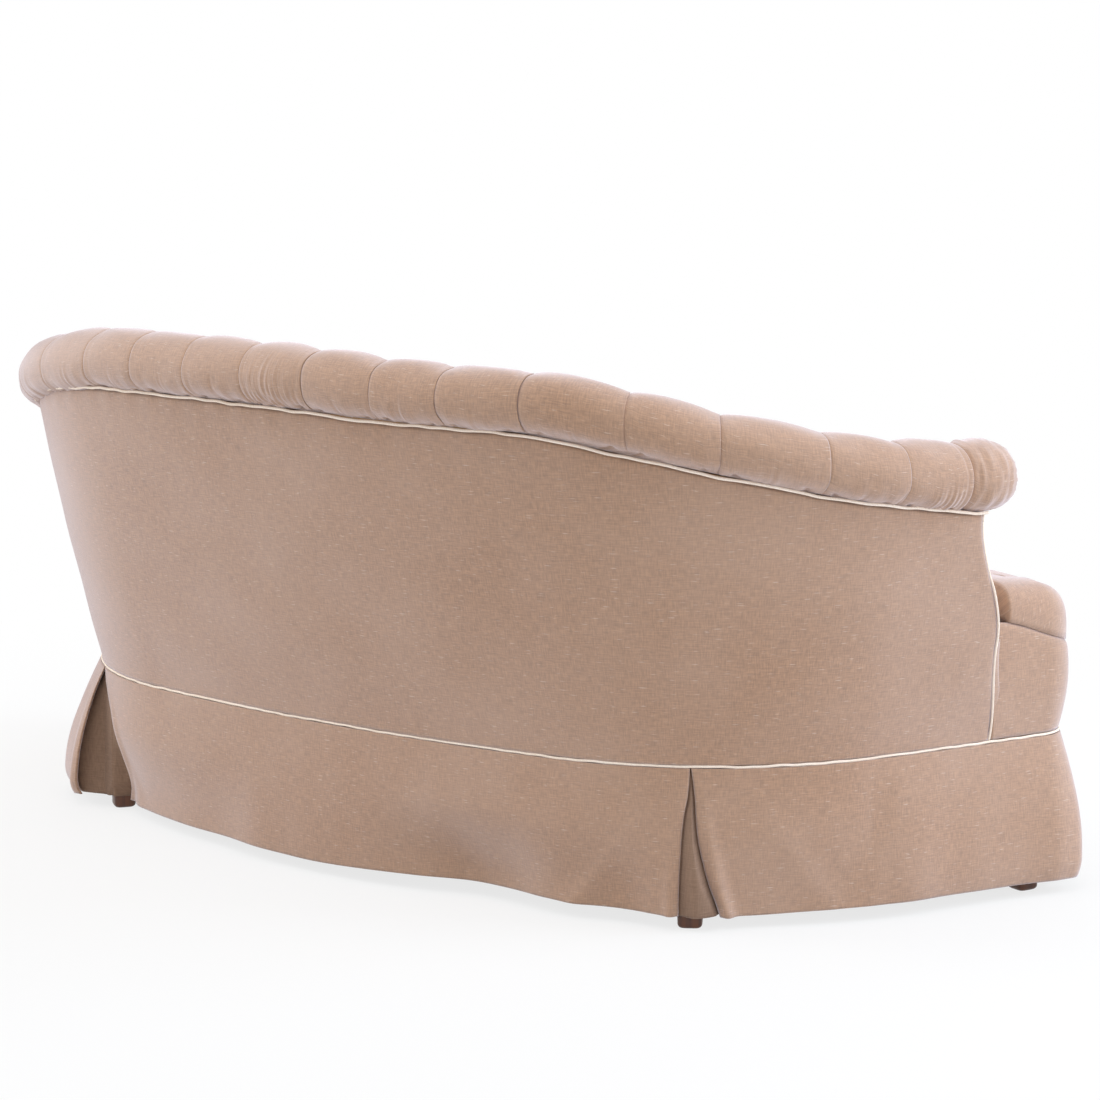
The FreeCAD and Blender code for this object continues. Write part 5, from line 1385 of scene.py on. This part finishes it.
class MakeStage(bpy.types.Operator):
    """Make the floor, the lights, the world and the camera"""
    bl_idname = "settee.make_stage"
    bl_label = "Stage"

    def execute(self, context):
        scene = context.scene
        bpy.ops.mesh.primitive_plane_add(size=60.0, location=(0.0, 0.0, 0.0))
        floor = context.active_object
        floor.name = "studio_floor"
        floor.data.materials.append(self.floor_paint())
        self.world(scene)
        self.lamp("overhead_softbox", (-0.5, 1.3, 4.6), (0.0, 0.0, 0.3), 3.2, 78.0)
        self.lamp("left_softbox", (3.9, 1.9, 2.2), (0.3, 0.0, 0.4), 2.4, 92.0)
        self.lamp("right_softbox", (-3.3, -2.2, 2.2), (-0.3, 0.0, 0.4), 2.4, 130.0, "#E6F0FF")
        self.lamp("window_softbox", (-4.6, 1.2, 2.0), (-0.4, 0.0, 0.4), 2.4, 30.0, "#E6F0FF")
        self.lamp("front_softbox", (1.0, -4.0, 2.6), (0.0, 0.0, 0.4), 3.0, 30.0)
        self.camera(scene)
        scene.view_settings.view_transform = "Standard"
        return {"FINISHED"}

    def floor_paint(self):
        """Matt white floor that keeps the shadow near the settee and fades to plain white."""
        material, tree = new_material("white_studio_floor")
        where = add_node(tree, "ShaderNodeTexCoord").outputs["Object"]
        far = add_node(tree, "ShaderNodeVectorMath", {0: where}, operation="LENGTH").outputs["Value"]
        fade = ranged(tree, far, 0.9, 2.1, 0.78, interpolation_type="SMOOTHSTEP")
        seen = white_rays(tree)[1]
        amount = sums(tree, fade, seen, "MULTIPLY")
        matt = add_node(tree, "ShaderNodeBsdfDiffuse", {"Color": colour("#E1E1E1")}).outputs[0]
        plain = add_node(tree, "ShaderNodeEmission", {"Color": WHITE, "Strength": 1.0}).outputs[0]
        paint = add_node(tree, "ShaderNodeMixShader", {0: amount, 1: matt, 2: plain}).outputs[0]
        finish_material(tree, paint)
        return material

    def world(self, scene):
        """White to the camera and to reflections, and a soft even light elsewhere."""
        world = bpy.data.worlds.new("studio")
        world.use_nodes = True
        tree = world.node_tree
        tree.nodes.clear()
        rays, seen = white_rays(tree)
        seen = sums(tree, seen, rays["Is Transmission Ray"], use_clamp=True)
        soft, white = [add_node(tree, "ShaderNodeBackground", {"Color": WHITE, "Strength": power}).outputs[0]
                       for power in (0.55, 1.0)]
        both = add_node(tree, "ShaderNodeMixShader", {0: seen, 1: soft, 2: white}).outputs[0]
        add_node(tree, "ShaderNodeOutputWorld", {"Surface": both})
        scene.world = world

    def lamp(self, name, spot, aim, size, power, tint="#FFFFFF"):
        """A square soft light of a size, at a spot, turned to an aim."""
        data = bpy.data.lights.new(name, "AREA")
        data.color = colour(tint)[:3]
        data.size = size
        data.energy = power
        lamp = bpy.data.objects.new(name, data)
        lamp.location = spot
        lamp.rotation_mode = "QUATERNION"
        lamp.rotation_quaternion = (Vector(aim) - Vector(spot)).to_track_quat("-Z", "Y")
        bpy.context.scene.collection.objects.link(lamp)

    def camera(self, scene):
        """A long lens behind the sitter's right, level with the top of the back and a little above."""
        data = bpy.data.cameras.new("camera")
        data.sensor_width = 36.0
        data.lens = 101.45
        camera = bpy.data.objects.new("camera", data)
        # The lens was chosen, 3100 pixels, with a horizon 490 pixels above the picture's middle.
        yaw, pitch = 0.6739, math.atan(490.0 / 3100.0)
        ahead = Vector((math.sin(yaw) * math.cos(pitch), -math.cos(yaw) * math.cos(pitch), -math.sin(pitch)))
        camera.location = (-2.9869, 3.2338 + SHIFT_Y, 1.1769)
        camera.rotation_mode = "QUATERNION"
        camera.rotation_quaternion = ahead.to_track_quat("-Z", "Y")
        scene.collection.objects.link(camera)
        scene.camera = camera


class SetteePanel(bpy.types.Panel):
    """Sidebar panel with the settee's sizes and operators"""
    bl_idname = "VIEW3D_PT_settee"
    bl_label = "Settee"
    bl_space_type = "VIEW_3D"
    bl_region_type = "UI"
    bl_category = "Settee"

    def draw(self, context):
        for group, holder in ((SetteeShape, context.scene.settee_shape),
                              (SetteeColours, context.scene.settee_colours)):
            for name in group.__annotations__:
                self.layout.prop(holder, name)
        for step in STEPS:
            self.layout.operator(step.bl_idname)


STEPS = (FinishFrame, MakeFeet, MakeOutsideCover, MakeBack, MakeRollEnds, MakeButtons, MakeArmFronts,
         MakeSeat, MakeBorders, MakeSkirt, MakeCords, MakeInnerCloths, MakeStage)
CLASSES = (SetteeShape, SetteeColours) + STEPS + (SetteePanel,)


def register():
    """Register the classes and hang the sizes and the colours on the scene."""
    for item in CLASSES:
        bpy.utils.register_class(item)
    bpy.types.Scene.settee_shape = PointerProperty(type=SetteeShape)
    bpy.types.Scene.settee_colours = PointerProperty(type=SetteeColours)


def unregister():
    """Undo register."""
    del bpy.types.Scene.settee_colours
    del bpy.types.Scene.settee_shape
    for item in reversed(CLASSES):
        bpy.utils.unregister_class(item)


def main():
    register()
    for step in STEPS:
        group, name = step.bl_idname.split(".")
        getattr(getattr(bpy.ops, group), name)()


if __name__ == "__main__":
    main()
